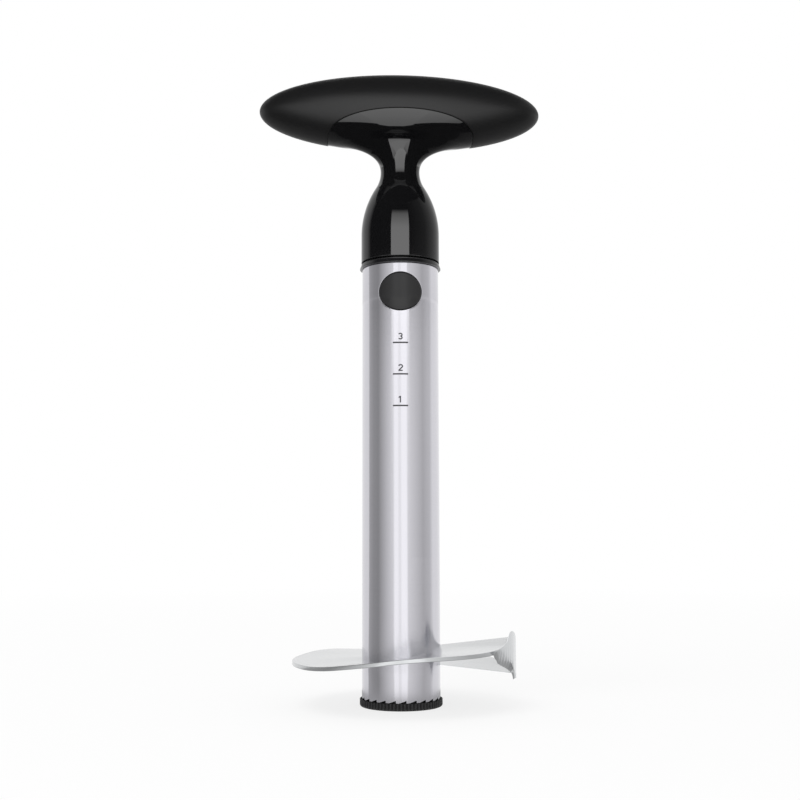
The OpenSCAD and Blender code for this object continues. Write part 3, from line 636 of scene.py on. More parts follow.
def bell_profile(handle):
    """Radius and height from the boss inside the bell, out over its lower edge and up to the neck.

    The shoulder and the neck's hollow are two arcs that meet in line.
    """
    bell_r, neck_r, low = handle.bell_d / 2, handle.neck_d / 2, HANDLE_LOW.z
    bore_r, edge = bell_r - handle.bell_wall, BELL_EDGE
    shoulder_z, neck_z = low + handle.bell_h, low + handle.neck_h
    drop, rise = bell_r - neck_r, neck_z - shoulder_z
    radii = (drop ** 2 + rise ** 2) / (2 * drop)
    shoulder = radii - handle.neck_hollow
    meet = math.degrees(math.atan2(rise, radii - drop))
    inside = np.array([[0, BOSS_Z], [BOSS_R, BOSS_Z], [BOSS_R, CEILING_Z], [bore_r, CEILING_Z],
                       [bore_r, low]])
    lower = arc((bell_r - edge, low + edge), edge, -90, 0, 6)
    upper = arc((bell_r - shoulder, shoulder_z), shoulder, 0, meet, 28)
    hollow = arc((neck_r + handle.neck_hollow, neck_z), handle.neck_hollow, 180 + meet, 180, 18)
    wall = np.array([[bell_r, low + 1.4 * edge], [bell_r, shoulder_z - edge]])
    return np.concatenate([inside, lower, wall, upper, hollow[1:]])


def handle_core(handle):
    """Bell, neck and saddle in one skin of rings.

    The bell is spun. Above the neck each column is a curve with one control point that leaves the neck
    upright and runs out along the grip's underside, then follows that underside to the arch's edge. The skin
    closes inside.
    """
    turns = ring_angles(HANDLE_COLUMNS)
    neck_r = handle.neck_d / 2
    bell = spun(bell_profile(handle), turns)
    ring_z = HANDLE_LOW.z + handle.neck_h
    start = polar(turns, neck_r, ring_z)
    hang = handle.flare_drop * np.cos(turns) ** 2
    control = polar(turns, neck_r, float(underside(handle, 0.0, np.float64(neck_r))) - hang)
    x = (handle.saddle_len / 2 - handle.flare_land) * np.cos(turns)
    y = (neck_r + handle.flare_front) * np.sin(turns)
    flare_end = np.stack([x, y, underside(handle, x, y)], axis=-1)
    share = np.linspace(0, 1, 30)[1:, None, None]
    flare = (1 - share) ** 2 * start + 2 * share * (1 - share) * control + share ** 2 * flare_end
    edge = arch_edge(handle, turns, 0, handle.inset)
    share = np.sin(np.linspace(0, math.pi / 2, 26))[1:-1, None]
    x = flare_end[:, 0] + share * (edge - flare_end)[:, 0]
    y = flare_end[:, 1] + share * (edge - flare_end)[:, 1]
    saddle = np.stack([x, y, underside(handle, x, y)], axis=-1)
    centre = np.array([0, 0, grip_middle(handle)])
    sunk = centre + (edge - centre) * SADDLE_SUNK
    spine = sunk * [1, 0, 0] + centre
    rings = np.concatenate([bell, flare, saddle, edge[None], sunk[None], spine[None]])
    return grid(turned(rings, handle.turned), closed=True)


def soft_grip(handle):
    """An ellipsoid with an arch left open below, as a shell with a rolled edge.

    In the ellipsoid's own measure each column is a meridian from the arch's edge to the crown. The outer
    skin comes first, its lower end rolls inwards, and the inner skin goes back up.
    """
    around = ring_angles(HANDLE_COLUMNS)
    centre = np.array([0, 0, grip_middle(handle)])
    foot = float(underside(handle, np.float64(handle.saddle_len / 2), 0.0)) - centre[2]
    roll = GRIP_ROLL

    def skin(inset, gap, number):
        """Rows from the crown down to the arch, on the ellipsoid less an inset.

        The cosine of a meridian's angle where it meets the arch is the root of a quadratic. Beside the
        arch's foot the meridian ends where it reaches the arch's half width.
        """
        a, b, c = half_sizes(handle, inset)
        wide, tall = handle.saddle_len / 2 + gap, handle.saddle_arch + gap
        spread = (a * np.cos(around) / wide) ** 2
        square, linear = (c / tall) ** 2 - spread, -c * foot / tall ** 2
        rest = (foot / tall) ** 2 + spread - 1
        met = rest / (-linear - np.sqrt(linear ** 2 - square * rest))
        beside = -np.sqrt(np.clip(1 - 1 / np.maximum(spread, 1e-9), 0, 1))
        down = np.arccos(np.where(c * met < foot, np.minimum(met, beside), met))
        reach = np.linspace(0, 1, number)[:, None] * down
        return centre + polar(around, np.sin(reach), np.cos(reach)) * [a, b, c]

    outer = skin(0, handle.parting + roll, 72)
    rolled = [skin(roll * (1 - math.cos(a)), handle.parting + roll * (1 - math.sin(a)), 2)[1:]
              for a in np.radians((22.5, 45, 67.5, 90))]
    inner = skin(handle.grip_skin, handle.parting, 40)[::-1]
    rings = np.concatenate([outer, *rolled, inner])
    return grid(turned(rings, handle.turned), closed=True)


# Depth scale

# Strokes of the numerals in a box one high: arcs as centre, radius and angles, and runs as end points
NUMERALS = {
    1: [("line", (0.02, 0.74), (0.26, 0.94)), ("line", (0.24, 1.0), (0.24, 0.0))],
    2: [("arc", (0.27, 0.70), 0.23, 165, -38), ("line", (0.45, 0.56), (0.06, 0.10)),
        ("line", (0.0, 0.08), (0.52, 0.08))],
    3: [("arc", (0.25, 0.715), 0.205, 160, -90), ("arc", (0.25, 0.285), 0.205, 90, -160)],
}
NUMERAL_W = 0.52


def stroke_line(stroke):
    """Points along a stroke."""
    if stroke[0] == "arc":
        return arc(*stroke[1:], 28)
    return np.linspace(stroke[1], stroke[2], 6)


def inked(line, width, tube, mark):
    """A flat stroke of ink wrapped on the front of the tube.

    The line's sideways distance becomes an angle round the tube. The stroke has a rectangular section, half
    its width to each side of the line and the ink's thickness on the tube, and its ends are closed.
    """
    along = np.gradient(line, axis=0)
    along = along / np.linalg.norm(along, axis=1, keepdims=True)
    side = np.stack([-along[:, 1], along[:, 0]], axis=-1) * width / 2
    flat = np.stack([line + side, line - side, line - side, line + side], axis=1)
    radius = tube.radius + np.array([mark.ink, mark.ink, -mark.ink, -mark.ink])
    points = polar(FRONT + flat[..., 0] / tube.radius, radius, flat[..., 1])
    ends = points[[0, -1]].mean(axis=1, keepdims=True).repeat(4, axis=1)
    return grid(np.concatenate([ends[:1], points, ends[1:]]), closed=True)


def depth_mark(number, tube, mark):
    """A line of the depth scale with its numeral above it."""
    level = mark.first + (number - 1) * mark.step
    half = mark.line_w / 2
    line = np.linspace((-half, level), (half, level), 12)
    foot = np.array([-NUMERAL_W / 2 * mark.digit_w, level + mark.digit_rise])
    size = np.array([mark.digit_w, mark.digit_h])
    strokes = [inked(foot + stroke_line(s) * size, mark.stroke, tube, mark) for s in NUMERALS[number]]
    return [inked(line, mark.line_h, tube, mark), *strokes]


# Finishes

METAL = {"Metallic": 1.0}
GRAIN_RANGE = (0.25, 0.75)
# The share of a rib's depth that takes the painted highlight of the crests, and the roughness of its groove
# and its crest
PAINTED_CREST_SHARE = 0.7
RIB_ROUGHNESS = (0.55, 0.36)


def feed(tree, node, inputs):
    """Gives a node's inputs, by name or place, a plain value each or a link from another node's output."""
    for name, value in inputs.items():
        if isinstance(value, bpy.types.NodeSocket):
            tree.links.new(value, node.inputs[name])
        else:
            node.inputs[name].default_value = value


def add_node(tree, kind, inputs, **settings):
    """A new shader node of a kind with its settings and its inputs."""
    node = tree.nodes.new("ShaderNode" + kind)
    for name, value in settings.items():
        setattr(node, name, value)
    feed(tree, node, inputs)
    return node


def new_finish(name, values):
    """A procedural material with plain values on its shader: the material, its tree and its shader."""
    material = bpy.data.materials.new(name)
    material.use_nodes = True
    tree = material.node_tree
    shader = tree.nodes["Principled BSDF"]
    feed(tree, shader, values)
    return material, tree, shader


def from_axis(tree):
    """A point's way from the Z axis: Object coordinates without their height, and the length of that."""
    place = add_node(tree, "TexCoord", {})
    flat = add_node(tree, "VectorMath", {0: place.outputs["Object"], 1: (1, 1, 0)}, operation="MULTIPLY")
    away = add_node(tree, "VectorMath", {0: flat.outputs["Vector"]}, operation="LENGTH")
    return flat.outputs["Vector"], away.outputs["Value"]


def noise(tree, scale, detail, stretch=(1, 1, 1)):
    """Noise on Object coordinates, so many grains to the metre, drawn out by the stretch along each axis."""
    place = add_node(tree, "TexCoord", {})
    sizes = [scale / s for s in stretch]
    mapping = add_node(tree, "Mapping", {"Vector": place.outputs["Object"], "Scale": sizes})
    grain = add_node(tree, "TexNoise", {"Vector": mapping.outputs["Vector"], "Scale": 1.0, "Detail": detail})
    return grain.outputs["Fac"]


def round_noise(tree, around, across, detail):
    """Noise drawn out round the Z axis: its place is the direction and the distance from the axis."""
    flat, away = from_axis(tree)
    unit = add_node(tree, "VectorMath", {0: flat}, operation="NORMALIZE")
    reach = add_node(tree, "VectorMath", {0: unit.outputs["Vector"], "Scale": around}, operation="SCALE")
    far = add_node(tree, "Math", {0: away, 1: across}, operation="MULTIPLY")
    lift = add_node(tree, "CombineXYZ", {"Z": far.outputs["Value"]})
    ends = {0: reach.outputs["Vector"], 1: lift.outputs["Vector"]}
    total = add_node(tree, "VectorMath", ends, operation="ADD")
    grain = add_node(tree, "TexNoise", {"Vector": total.outputs["Vector"], "Scale": 1.0, "Detail": detail})
    return grain.outputs["Fac"]


def tones(tree, share, low, high):
    """A colour that the share leads from low to high."""
    ends = {"Factor": share, "A": (*low, 1), "B": (*high, 1)}
    return add_node(tree, "Mix", ends, data_type="RGBA").outputs["Result"]


def spread_out(tree, value, source, target):
    """A value led from one range to another."""
    ends = {"From Min": source[0], "From Max": source[1], "To Min": target[0], "To Max": target[1]}
    return add_node(tree, "MapRange", {"Value": value, **ends}).outputs["Result"]


def vary(tree, grain, shader, tone, shift, roughness, spread):
    """The grain moves the base colour by a share of itself, and the roughness by a spread, both ways."""
    dark, pale = [c * (1 - shift) for c in tone], [min(1, c * (1 + shift)) for c in tone]
    gloss = spread_out(tree, grain, GRAIN_RANGE, (roughness - spread, roughness + spread))
    feed(tree, shader, {"Base Color": tones(tree, grain, dark, pale), "Roughness": gloss})


def roughen(tree, grain, shader, depth):
    """The grain as a fine relief of a depth in metres."""
    bump = add_node(tree, "Bump", {"Strength": 1.0, "Distance": depth, "Height": grain})
    feed(tree, shader, {"Normal": bump.outputs["Normal"]})


def tube_steel(colours):
    """Steel tube brushed round its axis: its gloss is drawn out along its length."""
    brushed = {**METAL, "Anisotropic": 0.83, "Anisotropic Rotation": 0.25}
    material, tree, shader = new_finish("brushed_tube_steel", brushed)
    brushing = add_node(tree, "Tangent", {}, direction_type="RADIAL", axis="Z")
    feed(tree, shader, {"Tangent": brushing.outputs["Tangent"]})
    vary(tree, noise(tree, 2600, 4.0, (40, 40, 1)), shader, colours.tube, 0.03, 0.155, 0.02)
    return material


def blade_steel(colours):
    """Satin steel sheet with fine lines round the tube's axis."""
    material, tree, shader = new_finish("satin_blade_steel", METAL)
    lines = round_noise(tree, 14.0, 4200.0, 3.0)
    vary(tree, lines, shader, colours.blade, 0.015, 0.2, 0.03)
    roughen(tree, lines, shader, 0.0004 * MM)
    return material


def grained(name, values, tone, grain, shift, roughness, spread, depth):
    """A finish whose grain, of a scale and detail, shifts colour and roughness and lifts the surface."""
    material, tree, shader = new_finish(name, values)
    lift = noise(tree, *grain)
    vary(tree, lift, shader, tone, shift, roughness, spread)
    roughen(tree, lift, shader, depth)
    return material


def hard_steel(colours, name, roughness):
    """Machined steel with a light random grain."""
    return grained(name, METAL, colours.hard_steel, (3500, 4.0), 0.08, roughness, 0.06, 0.004 * MM)


def bush_bronze(colours):
    """Oil-dark bronze of the bush."""
    return grained("bush_bronze_metal", METAL, colours.bronze, (1800, 5.0), 0.15, 0.36, 0.08, 0.004 * MM)


def plastic(name, tone, roughness, grain_scale, depth, refraction=1.5):
    """Moulded plastic with a fine skin."""
    skin = {"IOR": refraction}
    return grained(name, skin, tone, (grain_scale, 4.0), 0.10, roughness, 0.12 * roughness, depth)


def ribbed_plastic(colours, guard):
    """Black plastic ribs: their tone and gloss follow the distance from the Z axis, with a painted highlight
    on the crests and painted shade in the grooves.
    """
    material, tree, shader = new_finish("guard_black", {"IOR": 1.42})
    away = from_axis(tree)[1]
    crest = spread_out(tree, away, (guard.radius - PAINTED_CREST_SHARE * guard.rib_depth, guard.radius), (0, 1))
    gloss = spread_out(tree, crest, (0, 1), RIB_ROUGHNESS)
    # Painted highlight on the crests and painted shade in the grooves: the base colour goes from the groove
    # black to the crest colour.
    tone = tones(tree, crest, colours.guard, colours.guard_crest_highlight)
    feed(tree, shader, {"Base Color": tone, "Roughness": gloss})
    roughen(tree, noise(tree, 2400, 4.0), shader, 0.008 * MM)
    return material


def grip_rubber(colours):
    """Soft-touch rubber: a dull fine-grained black with a faint bloom at grazing angles."""
    bloom = {"Specular IOR Level": 0.42, "Sheen Weight": 0.03, "Sheen Roughness": 0.4}
    return grained("soft_grip_rubber", bloom, colours.rubber, (5200, 5.0), 0.12, 0.42, 0.04, 0.006 * MM)


# Stage

CARD_RADIUS = 1.3
FLOOR_HALF = 6.0
# What the tube mirrors all round: left and right edge in degrees from the camera's side, the glow at each,
# and its share at the wall's top
SURROUND = (
    (-180, -111, 1.0, 1.0, 1.05),
    (-108, -88, 0.54, 0.40, 1.2),
    (-88, -70, 0.40, 0.36, 1.2),
    (-70, -20.5, 0.35, 1.03, 1.2),
    (-20, -7, 1.42, 1.42, 0.97),
    (-7, 1, 1.26, 1.26, 0.97),
    (1, 19, 1.45, 1.45, 0.97),
    (19.5, 70, 1.01, 0.59, 1.2),
    (70, 93, 0.61, 0.72, 1.2),
    (93, 106, 0.72, 1.0, 1.05),
    (106, 180, 1.03, 1.03, 1.05),
)
# Places of that surround: the wall, the floor further out, and two fences close by, at floor and collar
WALL = (0.0, 0.468)
FLOOR = (0.1, 1.3)
FENCE = (0.0, 8.5 * MM)
FENCE_RADIUS = 0.05
COLLAR_FENCE = (167 * MM, 183.3 * MM)
COLLAR_FENCE_RADIUS = 0.025
COLLAR_FENCE_FOOT = 0.95
# Upper wall: edges in degrees, lower and upper height, glow at left and right, and its share at the top
UPPER_WALL = (
    (-180, -112, 0.468, 1.6, 0.85, 0.45, 1.0),
    (-112, -98, 0.468, 1.6, 0.45, 0.04, 1.0),
    (-98, -27, 0.468, 1.6, 0.02, 0.02, 1.0),
    (-27, 26, 0.468, 1.0, 2.2, 2.2, 0.5),
    (-27, 26, 1.0, 1.2, 1.1, 1.1, 0.02),
    (-27, 26, 1.2, 1.6, 0.02, 0.02, 1.0),
    (26, 80, 0.468, 1.6, 0.02, 0.12, 1.0),
    (80, 180, 0.468, 1.6, 0.14, 0.8, 1.0),
)
# Right half of the flag under the handle, seen only from above: edges in degrees, inner and outer reach, the
# glow at each edge and its outer share. A reach is one length, or one for each edge.
FLAG = (
    (0, 11, 0.0157, 0.0215, 0.02, 0.02, 1.0),
    (0, 11, 0.0215, 0.05, 1.15, 1.15, 1.3),
    (11, 22, 0.0157, (0.0215, 0.0255), 0.02, 0.02, 1.0),
    (11, 22, (0.0215, 0.0255), 0.05, 1.15, 1.15, 1.3),
    (22, 40, 0.0157, (0.0285, 0.0364), 0.02, 0.02, 1.0),
    (22, 40, (0.0285, 0.0364), 0.075, 1.15, 1.05, 1.4),
    (40, 58, 0.0157, (0.0364, 0.044), 0.02, 0.02, 1.0),
    (40, 58, (0.0364, 0.044), 0.075, 1.1, 0.75, 1.4),
    (17, 22, 0.05, 0.075, 1.5, 1.5, 1.1),
    (0, 17, 0.05, 0.12, 1.5, 1.5, 1.2),
    (0, 14, 0.12, 1.2, 1.8, 1.8, 1.0),
    (14, 17, 0.12, 1.2, 1.6, 1.6, 0.5),
    (17, 58, 0.075, 1.2, 1.6, 1.3, 0.5),
    (58, 90, 0.0157, 1.2, 0.02, 0.02, 1.0),
    (90, 180, 0.0157, 0.034, 0.02, 0.02, 1.0),
    (90, 180, 0.034, 0.06, 0.07, 0.07, 3.0),
    (90, 180, 0.06, 0.3, 0.21, 0.21, 4.8),
    (90, 180, 0.3, 1.2, 1.0, 1.0, 1.0),
)
# Two small flags close round the neck: edges in degrees, lower and upper height and the glow at each edge
NECK_FLAGS = (
    (-80, -24, 0.2165, 0.2325, 0.02, 0.02),
    (24, 80, 0.2165, 0.2325, 0.02, 0.02),
)
NECK_FLAG_RADIUS = 0.0125
# Cards over the blade's right side, seen only from steeply below, so their angles run backwards
BLADE_CARDS = (
    (75, 20, 0.05, 0.5, 0.7, 0.7),
    (135, 75, 0.05, 0.5, 0.75, 0.75),
    (120, 20, 0.017, 0.05, 1.8, 1.8),
)
BLADE_CARD_Z = 0.055
BLADE_CARD_SLOPE = 0.3
FLAG_LEVELS = (0.196, 0.1775)
FLAG_SLOPE = 0.21
CARD_LIFT = 0.4 * MM
UNDER_FROM = 0.018
UNDER_GLOW = 0.46
ROOF_Z = 1.6
ROOF_GLOW = 0.02
CARD_STEPS = 16
FLOOR_Z = -0.05 * MM
# The floor turns white between these distances, from one share of white to another
FADE = (0.15, 0.9)
FADE_WHITE = (0.8, 1.0)
KEY_SIZE = 0.9
KEY_PLACE = (-0.5, -0.7, 1.5)
KEY_AIM = (0, 0, 0.12)
SENSOR = 36.0
CLIP_START = 0.01


def wall_card(left, right, low, high, glow_left, glow_right, top_share=1.0, radius=CARD_RADIUS):
    """A card bent round the Z axis: its angle runs from left to right, its other way runs in height."""
    share = np.linspace(0, 1, CARD_STEPS)
    angle = FRONT + np.radians(left + (right - left) * share)
    glow = np.array([[1], [top_share]]) * (glow_left + (glow_right - glow_left) * share)
    return grid(polar(angle[None, :], radius, np.array([[low], [high]]))), glow.ravel()


def flat_card(left, right, near, far, glow_left, glow_right, far_share=1.0, level=CARD_LIFT, slope=0.0):
    """A fan of a card about the Z axis: its angle runs from left to right, its other way outwards and up.

    A reach is one length, or two that it changes between evenly.
    """
    share = np.linspace(0, 1, CARD_STEPS)
    angle = FRONT + np.radians(left + (right - left) * share)
    glow = np.array([[1], [far_share]]) * (glow_left + (glow_right - glow_left) * share)
    reach = np.stack([np.linspace(*np.broadcast_to(limit, 2), CARD_STEPS) for limit in (near, far)])
    return grid(polar(angle[None, :], reach, level + slope * reach)), glow.ravel()


def flag_cards(level):
    """Both halves of the flag at one level: each row as it is and mirrored to the left."""
    place = {"level": level, "slope": FLAG_SLOPE}
    right = [flat_card(*row, **place) for row in FLAG]
    left = [flat_card(-end, -start, np.broadcast_to(near, 2)[::-1], np.broadcast_to(far, 2)[::-1],
                      glow_end, glow_start, far_share, **place)
            for start, end, near, far, glow_start, glow_end, far_share in FLAG]
    return right + left


def drawn_in(degrees, radius):
    """Angle on a near fence that the tube mirrors where it would mirror an angle on a far wall."""
    sideways = TUBE_HIGH.x / radius * math.sin(math.radians(degrees) / 2)
    return degrees - math.degrees(math.asin(sideways))


def fence_card(left, right, limits, glows, radius, foot=1.0):
    """A card on a fence that looks to the tube like the same part of the far wall, dimmer at its foot."""
    glows = [foot * glow for glow in glows]
    return wall_card(drawn_in(left, radius), drawn_in(right, radius), *limits, *glows, 1 / foot, radius)


def roof_card():
    """A dark round card over the stage."""
    points = spun(np.array([[CARD_RADIUS, ROOF_Z], [0, ROOF_Z]]), ring_angles(48))
    return grid(points, closed=True), np.full(points.shape[0] * points.shape[1], ROOF_GLOW)


def bare_tree(owner):
    """An empty node tree of a material or a world."""
    owner.use_nodes = True
    owner.node_tree.nodes.clear()
    return owner.node_tree


def choose_shader(tree, share, first, second, out):
    """Shows the first shader where the share is nothing, the second where it is one, and mixes between."""
    mix = add_node(tree, "MixShader", {"Fac": share, 1: first, 2: second})
    add_node(tree, out, {"Surface": mix.outputs["Shader"]})


def card_glow():
    """Light from each point's own glow, on the side that a card turns to the object. The other is clear."""
    material = bpy.data.materials.new("card_glow")
    tree = bare_tree(material)
    level = add_node(tree, "Attribute", {}, attribute_name="glow")
    light = add_node(tree, "Emission", {"Strength": level.outputs["Fac"]})
    clear = add_node(tree, "BsdfTransparent", {})
    side = add_node(tree, "NewGeometry", {})
    choose_shader(tree, side.outputs["Backfacing"], clear.outputs["BSDF"], light.outputs["Emission"],
                  "OutputMaterial")
    return material


def reflection_cards(context):
    """All cards in one object that neither the camera nor shadows nor soft light see."""
    cards = [roof_card(), flat_card(-180, 180, UNDER_FROM, FLOOR[0], UNDER_GLOW, UNDER_GLOW)]
    for left, right, *glows, top_share in SURROUND:
        cards.append(wall_card(left, right, *WALL, *glows, top_share))
        cards.append(fence_card(left, right, FENCE, glows, FENCE_RADIUS))
        cards.append(fence_card(left, right, COLLAR_FENCE, glows, COLLAR_FENCE_RADIUS, COLLAR_FENCE_FOOT))
        cards.append(flat_card(left, right, *FLOOR, *glows))
    cards += [wall_card(*row) for row in UPPER_WALL]
    cards += [wall_card(*row, radius=NECK_FLAG_RADIUS) for row in NECK_FLAGS]
    for level in FLAG_LEVELS:
        cards += flag_cards(level)
    cards += [flat_card(*row, level=BLADE_CARD_Z, slope=BLADE_CARD_SLOPE) for row in BLADE_CARDS]
    mesh = raw_mesh("reflection_cards", [shape for shape, _ in cards])
    glow = mesh.attributes.new("glow", "FLOAT", "POINT")
    glow.data.foreach_set("value", np.concatenate([level for _, level in cards]).astype(np.float32))
    mesh.materials.append(card_glow())
    sheets = put_object(context, "reflection_cards", mesh)
    sheets.visible_camera = False
    sheets.visible_diffuse = False
    sheets.visible_shadow = False
    sheets.visible_transmission = False


def sees_backdrop(tree):
    """One for rays from the camera, off metal or through glass, and nothing for the light on the object."""
    path = add_node(tree, "LightPath", {}).outputs
    first = add_node(tree, "Math", {0: path["Is Camera Ray"], 1: path["Is Glossy Ray"]}, operation="MAXIMUM")
    ends = {0: first.outputs["Value"], 1: path["Is Transmission Ray"]}
    return add_node(tree, "Math", ends, operation="MAXIMUM").outputs["Value"]


def white_world(context, strength):
    """A white backdrop, with an even light of its own strength on the object."""
    world = bpy.data.worlds.new("studio_white")
    context.scene.world = world
    tree = bare_tree(world)
    white = (1, 1, 1, 1)
    light = add_node(tree, "Background", {"Color": white, "Strength": strength})
    backdrop = add_node(tree, "Background", {"Color": white})
    choose_shader(tree, sees_backdrop(tree), light.outputs["Background"], backdrop.outputs["Background"],
                  "OutputWorld")


def floor_finish(tone):
    """A pale floor that keeps the shadow near the object and turns white further out."""
    material = bpy.data.materials.new("pale_floor")
    tree = bare_tree(material)
    paint = add_node(tree, "BsdfDiffuse", {"Color": (*tone, 1)})
    white = add_node(tree, "Emission", {})
    place = add_node(tree, "TexCoord", {})
    away = add_node(tree, "VectorMath", {0: place.outputs["Object"]}, operation="LENGTH")
    fade = spread_out(tree, away.outputs["Value"], FADE, FADE_WHITE)
    seen = add_node(tree, "Math", {0: fade, 1: sees_backdrop(tree)}, operation="MULTIPLY")
    choose_shader(tree, seen.outputs["Value"], paint.outputs["BSDF"], white.outputs["Emission"],
                  "OutputMaterial")
    return material


def put_floor(context, tone):
    """A wide flat floor just under the object."""
    span = np.linspace(-FLOOR_HALF, FLOOR_HALF, 3)
    x, y = np.meshgrid(span, span)
    mesh = raw_mesh("floor", [grid(np.stack([x, y, np.full_like(x, FLOOR_Z)], axis=-1))])
    mesh.materials.append(floor_finish(tone))
    put_object(context, "floor", mesh)


def put_key_lamp(context, power):
    """A large soft lamp over the camera's left shoulder that casts the object's shadow."""
    lamp = bpy.data.lights.new("key_lamp", "AREA")
    lamp.energy = power
    lamp.size = KEY_SIZE
    light = put_object(context, "key_lamp", lamp)
    light.location = KEY_PLACE
    aim = Vector(KEY_AIM) - light.location
    light.rotation_euler = aim.to_track_quat("-Z", "Y").to_euler()
    light.visible_glossy = False


def put_camera(context, stage):
    """The camera before the object, looking a little up."""
    data = bpy.data.cameras.new("camera")
    data.lens = stage.lens
    data.sensor_width = SENSOR
    data.clip_start = CLIP_START
    camera = put_object(context, "camera", data)
    camera.location = (-stage.aside, -stage.distance, stage.height)
    camera.rotation_euler = (math.pi / 2 + stage.tilt, stage.roll, 0)
    context.scene.camera = camera


# Operators


class SLICER_OT_core_tube(bpy.types.Operator):
    """Builds the coring tube with its saw teeth and its two oval button holes"""

    bl_idname = "slicer.core_tube"
    bl_label = "Coring Tube"

    def execute(self, context):
        settings = context.scene.slicer
        tube, button = settings.tube, settings.button
        if tube.teeth % 4:
            raise ValueError("the tube's teeth have to be a multiple of four")
        angles, saw = tube_stations(tube)
        low = button.middle - button.height / 2 - HOLE_MARGIN
        high = button.middle + button.height / 2 + HOLE_MARGIN
        levels = np.linspace(low, high, 16)
        quarter = len(angles) // 4
        looped = np.append(angles, angles[0] + FULL_TURN)
        front, right, back, left = (looped[i * quarter:(i + 1) * quarter + 1] for i in range(4))
        grids = [tube_below(tube, angles, saw, low), tube_above(tube, angles, high)]
        grids += tube_sides(tube, right, levels) + tube_sides(tube, left, levels)
        grids += [tube_hole(tube, button, front, levels), tube_hole(tube, button, back, levels)]
        finish = tube_steel(settings.colours)
        put_piece(context, "steel_tube", grids, finish, "shaft", "brushed_tube", "core_tube")
        return {"FINISHED"}


class SLICER_OT_blade(bpy.types.Operator):
    """Builds the spiral blade and the serrated peeling fin"""

    bl_idname = "slicer.blade"
    bl_label = "Blade and Fin"

    def execute(self, context):
        settings = context.scene.slicer
        finish = blade_steel(settings.colours)
        root_r = settings.tube.radius - FIN_GAP
        blade = spiral_blade(settings.blade, settings.fin, root_r)
        fin = peeling_fin(settings.fin, settings.blade)
        put_piece(context, "spiral_blade", [blade], finish, "shaft", "blade_steel", "slicing_blade")
        put_piece(context, "serrated_fin", [fin], finish, "shaft", "blade_steel", "peeling_fin")
        return {"FINISHED"}


class SLICER_OT_guard(bpy.types.Operator):
    """Builds the ribbed guard on the tube's toothed end"""

    bl_idname = "slicer.guard"
    bl_label = "Tooth Guard"

    def execute(self, context):
        settings = context.scene.slicer
        finish = ribbed_plastic(settings.colours, settings.guard)
        cap = ribbed_guard(settings.guard, settings.tube)
        put_piece(context, "ribbed_guard", [cap], finish, "guard", "guard_plastic", "tooth_guard")
        return {"FINISHED"}


class SLICER_OT_buttons(bpy.types.Operator):
    """Builds the two release buttons"""

    bl_idname = "slicer.buttons"
    bl_label = "Release Buttons"

    def execute(self, context):
        settings = context.scene.slicer
        finish = plastic("button_grey", settings.colours.button, 0.32, 2600, 0.006 * MM, 1.45)
        for name, side in (("front_button", -1), ("rear_button", 1)):
            shape = release_button(settings.button, settings.tube, side)
            put_piece(context, name + "_cap", [shape], finish, name, "button_plastic", name)
        return {"FINISHED"}


class SLICER_OT_handle(bpy.types.Operator):
    """Builds the handle's glossy core and its soft grip"""

    bl_idname = "slicer.handle"
    bl_label = "Handle"

    def execute(self, context):
        settings = context.scene.slicer
        colours = settings.colours
        gloss = plastic("handle_black", colours.gloss, 0.05, 160, 0.004 * MM, 1.7)
        rubber = grip_rubber(colours)
        core, grip = handle_core(settings.handle), soft_grip(settings.handle)
        put_piece(context, "glossy_handle", [core], gloss, "handle", "handle_gloss", "handle_core")
        put_piece(context, "rubber_grip", [grip], rubber, "handle", "grip_rubber", "soft_grip")
        return {"FINISHED"}


class SLICER_OT_depth_scale(bpy.types.Operator):
    """Prints the depth scale on the front of the tube"""

    bl_idname = "slicer.depth_scale"
    bl_label = "Depth Scale"

    def execute(self, context):
        settings = context.scene.slicer
        ink = plastic("scale_ink", settings.colours.ink, 0.45, 5000, 0.002 * MM)
        for number in NUMERALS:
            strokes = depth_mark(number, settings.tube, settings.mark)
            put_piece(context, f"depth_mark_{number}", strokes, ink, "shaft", "brushed_tube")
        return {"FINISHED"}


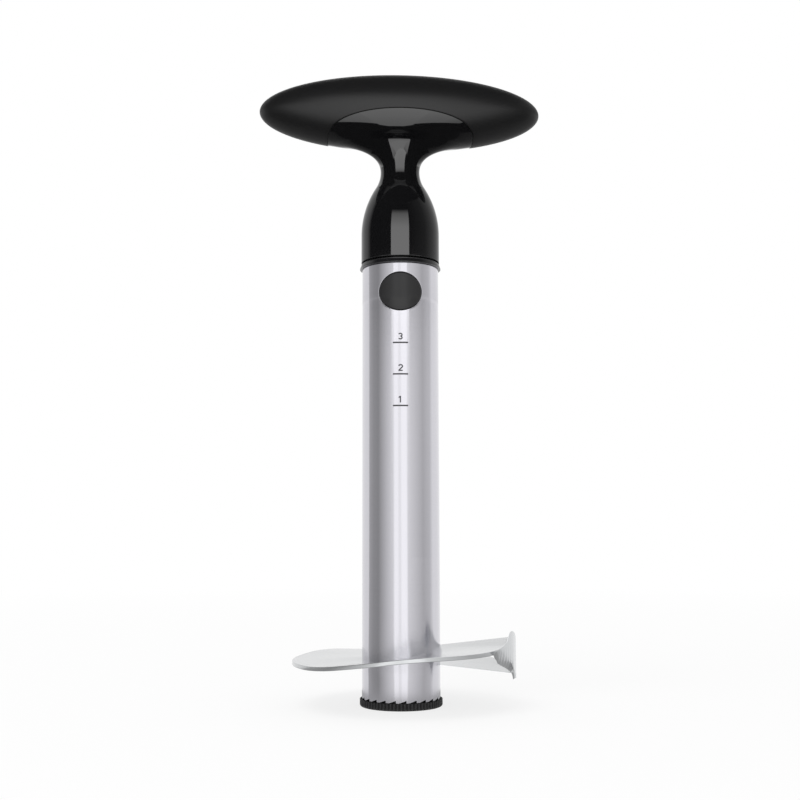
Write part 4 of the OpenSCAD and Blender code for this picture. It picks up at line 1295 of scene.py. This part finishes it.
class SLICER_OT_works(bpy.types.Operator):
    """Gives the plug, screws, springs and ratchet their finishes"""

    bl_idname = "slicer.works"
    bl_label = "Inner Works"

    def execute(self, context):
        colours = context.scene.slicer.colours
        black = plastic("plug_black", colours.plug, 0.22, 1800, 0.006 * MM, 1.55)
        spring = hard_steel(colours, "spring_wire", 0.24)
        screw = hard_steel(colours, "screw_steel_turned", 0.30)
        ratchet = hard_steel(colours, "ratchet_steel_cut", 0.38)
        finishes = {
            "drive_plug": black, "plug_cover": black,
            "cover_screws": screw, "pivot_screw": screw, "pivot_washer": screw, "thrust_washer": screw,
            "front_button_spring": spring, "rear_button_spring": spring, "pawl_leaf_a": spring,
            "pawl_leaf_b": spring,
            "pawl_a": ratchet, "pawl_b": ratchet, "pawl_pins": ratchet, "ratchet_ring": ratchet,
            "pivot_bush": bush_bronze(colours),
        }
        for name, finish in finishes.items():
            NODES[name].data.materials.clear()
            NODES[name].data.materials.append(finish)
        return {"FINISHED"}


class SLICER_OT_stage(bpy.types.Operator):
    """Sets up the floor, the light and the camera"""

    bl_idname = "slicer.stage"
    bl_label = "Stage"

    def execute(self, context):
        stage = context.scene.slicer.stage
        context.scene.view_settings.view_transform = "Standard"
        white_world(context, stage.sky)
        put_floor(context, stage.floor)
        reflection_cards(context)
        put_key_lamp(context, stage.key)
        put_camera(context, stage)
        return {"FINISHED"}


OPERATORS = (
    SLICER_OT_core_tube,
    SLICER_OT_blade,
    SLICER_OT_guard,
    SLICER_OT_buttons,
    SLICER_OT_handle,
    SLICER_OT_depth_scale,
    SLICER_OT_works,
    SLICER_OT_stage,
)


class SLICER_PT_pieces(bpy.types.Panel):
    """Lists the slicer's operators, with its sizes and colours below"""

    bl_idname = "SLICER_PT_pieces"
    bl_label = "Pineapple Slicer"
    bl_space_type = "VIEW_3D"
    bl_region_type = "UI"
    bl_category = "Slicer"

    def draw(self, context):
        for operator in OPERATORS:
            self.layout.operator(operator.bl_idname)
        settings = context.scene.slicer
        for name, group in GROUPS.items():
            box = self.layout.box()
            box.label(text=name.capitalize())
            for prop in group.__annotations__:
                box.prop(getattr(settings, name), prop)


CLASSES = (*GROUPS.values(), SlicerSettings, *OPERATORS, SLICER_PT_pieces)


def register():
    """Registers the classes and puts the settings on the scene."""
    for cls in CLASSES:
        bpy.utils.register_class(cls)
    bpy.types.Scene.slicer = bpy.props.PointerProperty(type=SlicerSettings)


def unregister():
    """Takes the settings and the classes away again."""
    del bpy.types.Scene.slicer
    for cls in reversed(CLASSES):
        bpy.utils.unregister_class(cls)


def main():
    """Builds every piece and the stage."""
    register()
    bpy.ops.slicer.core_tube()
    bpy.ops.slicer.blade()
    bpy.ops.slicer.guard()
    bpy.ops.slicer.buttons()
    bpy.ops.slicer.handle()
    bpy.ops.slicer.depth_scale()
    bpy.ops.slicer.works()
    bpy.ops.slicer.stage()


if __name__ == "__main__":
    main()
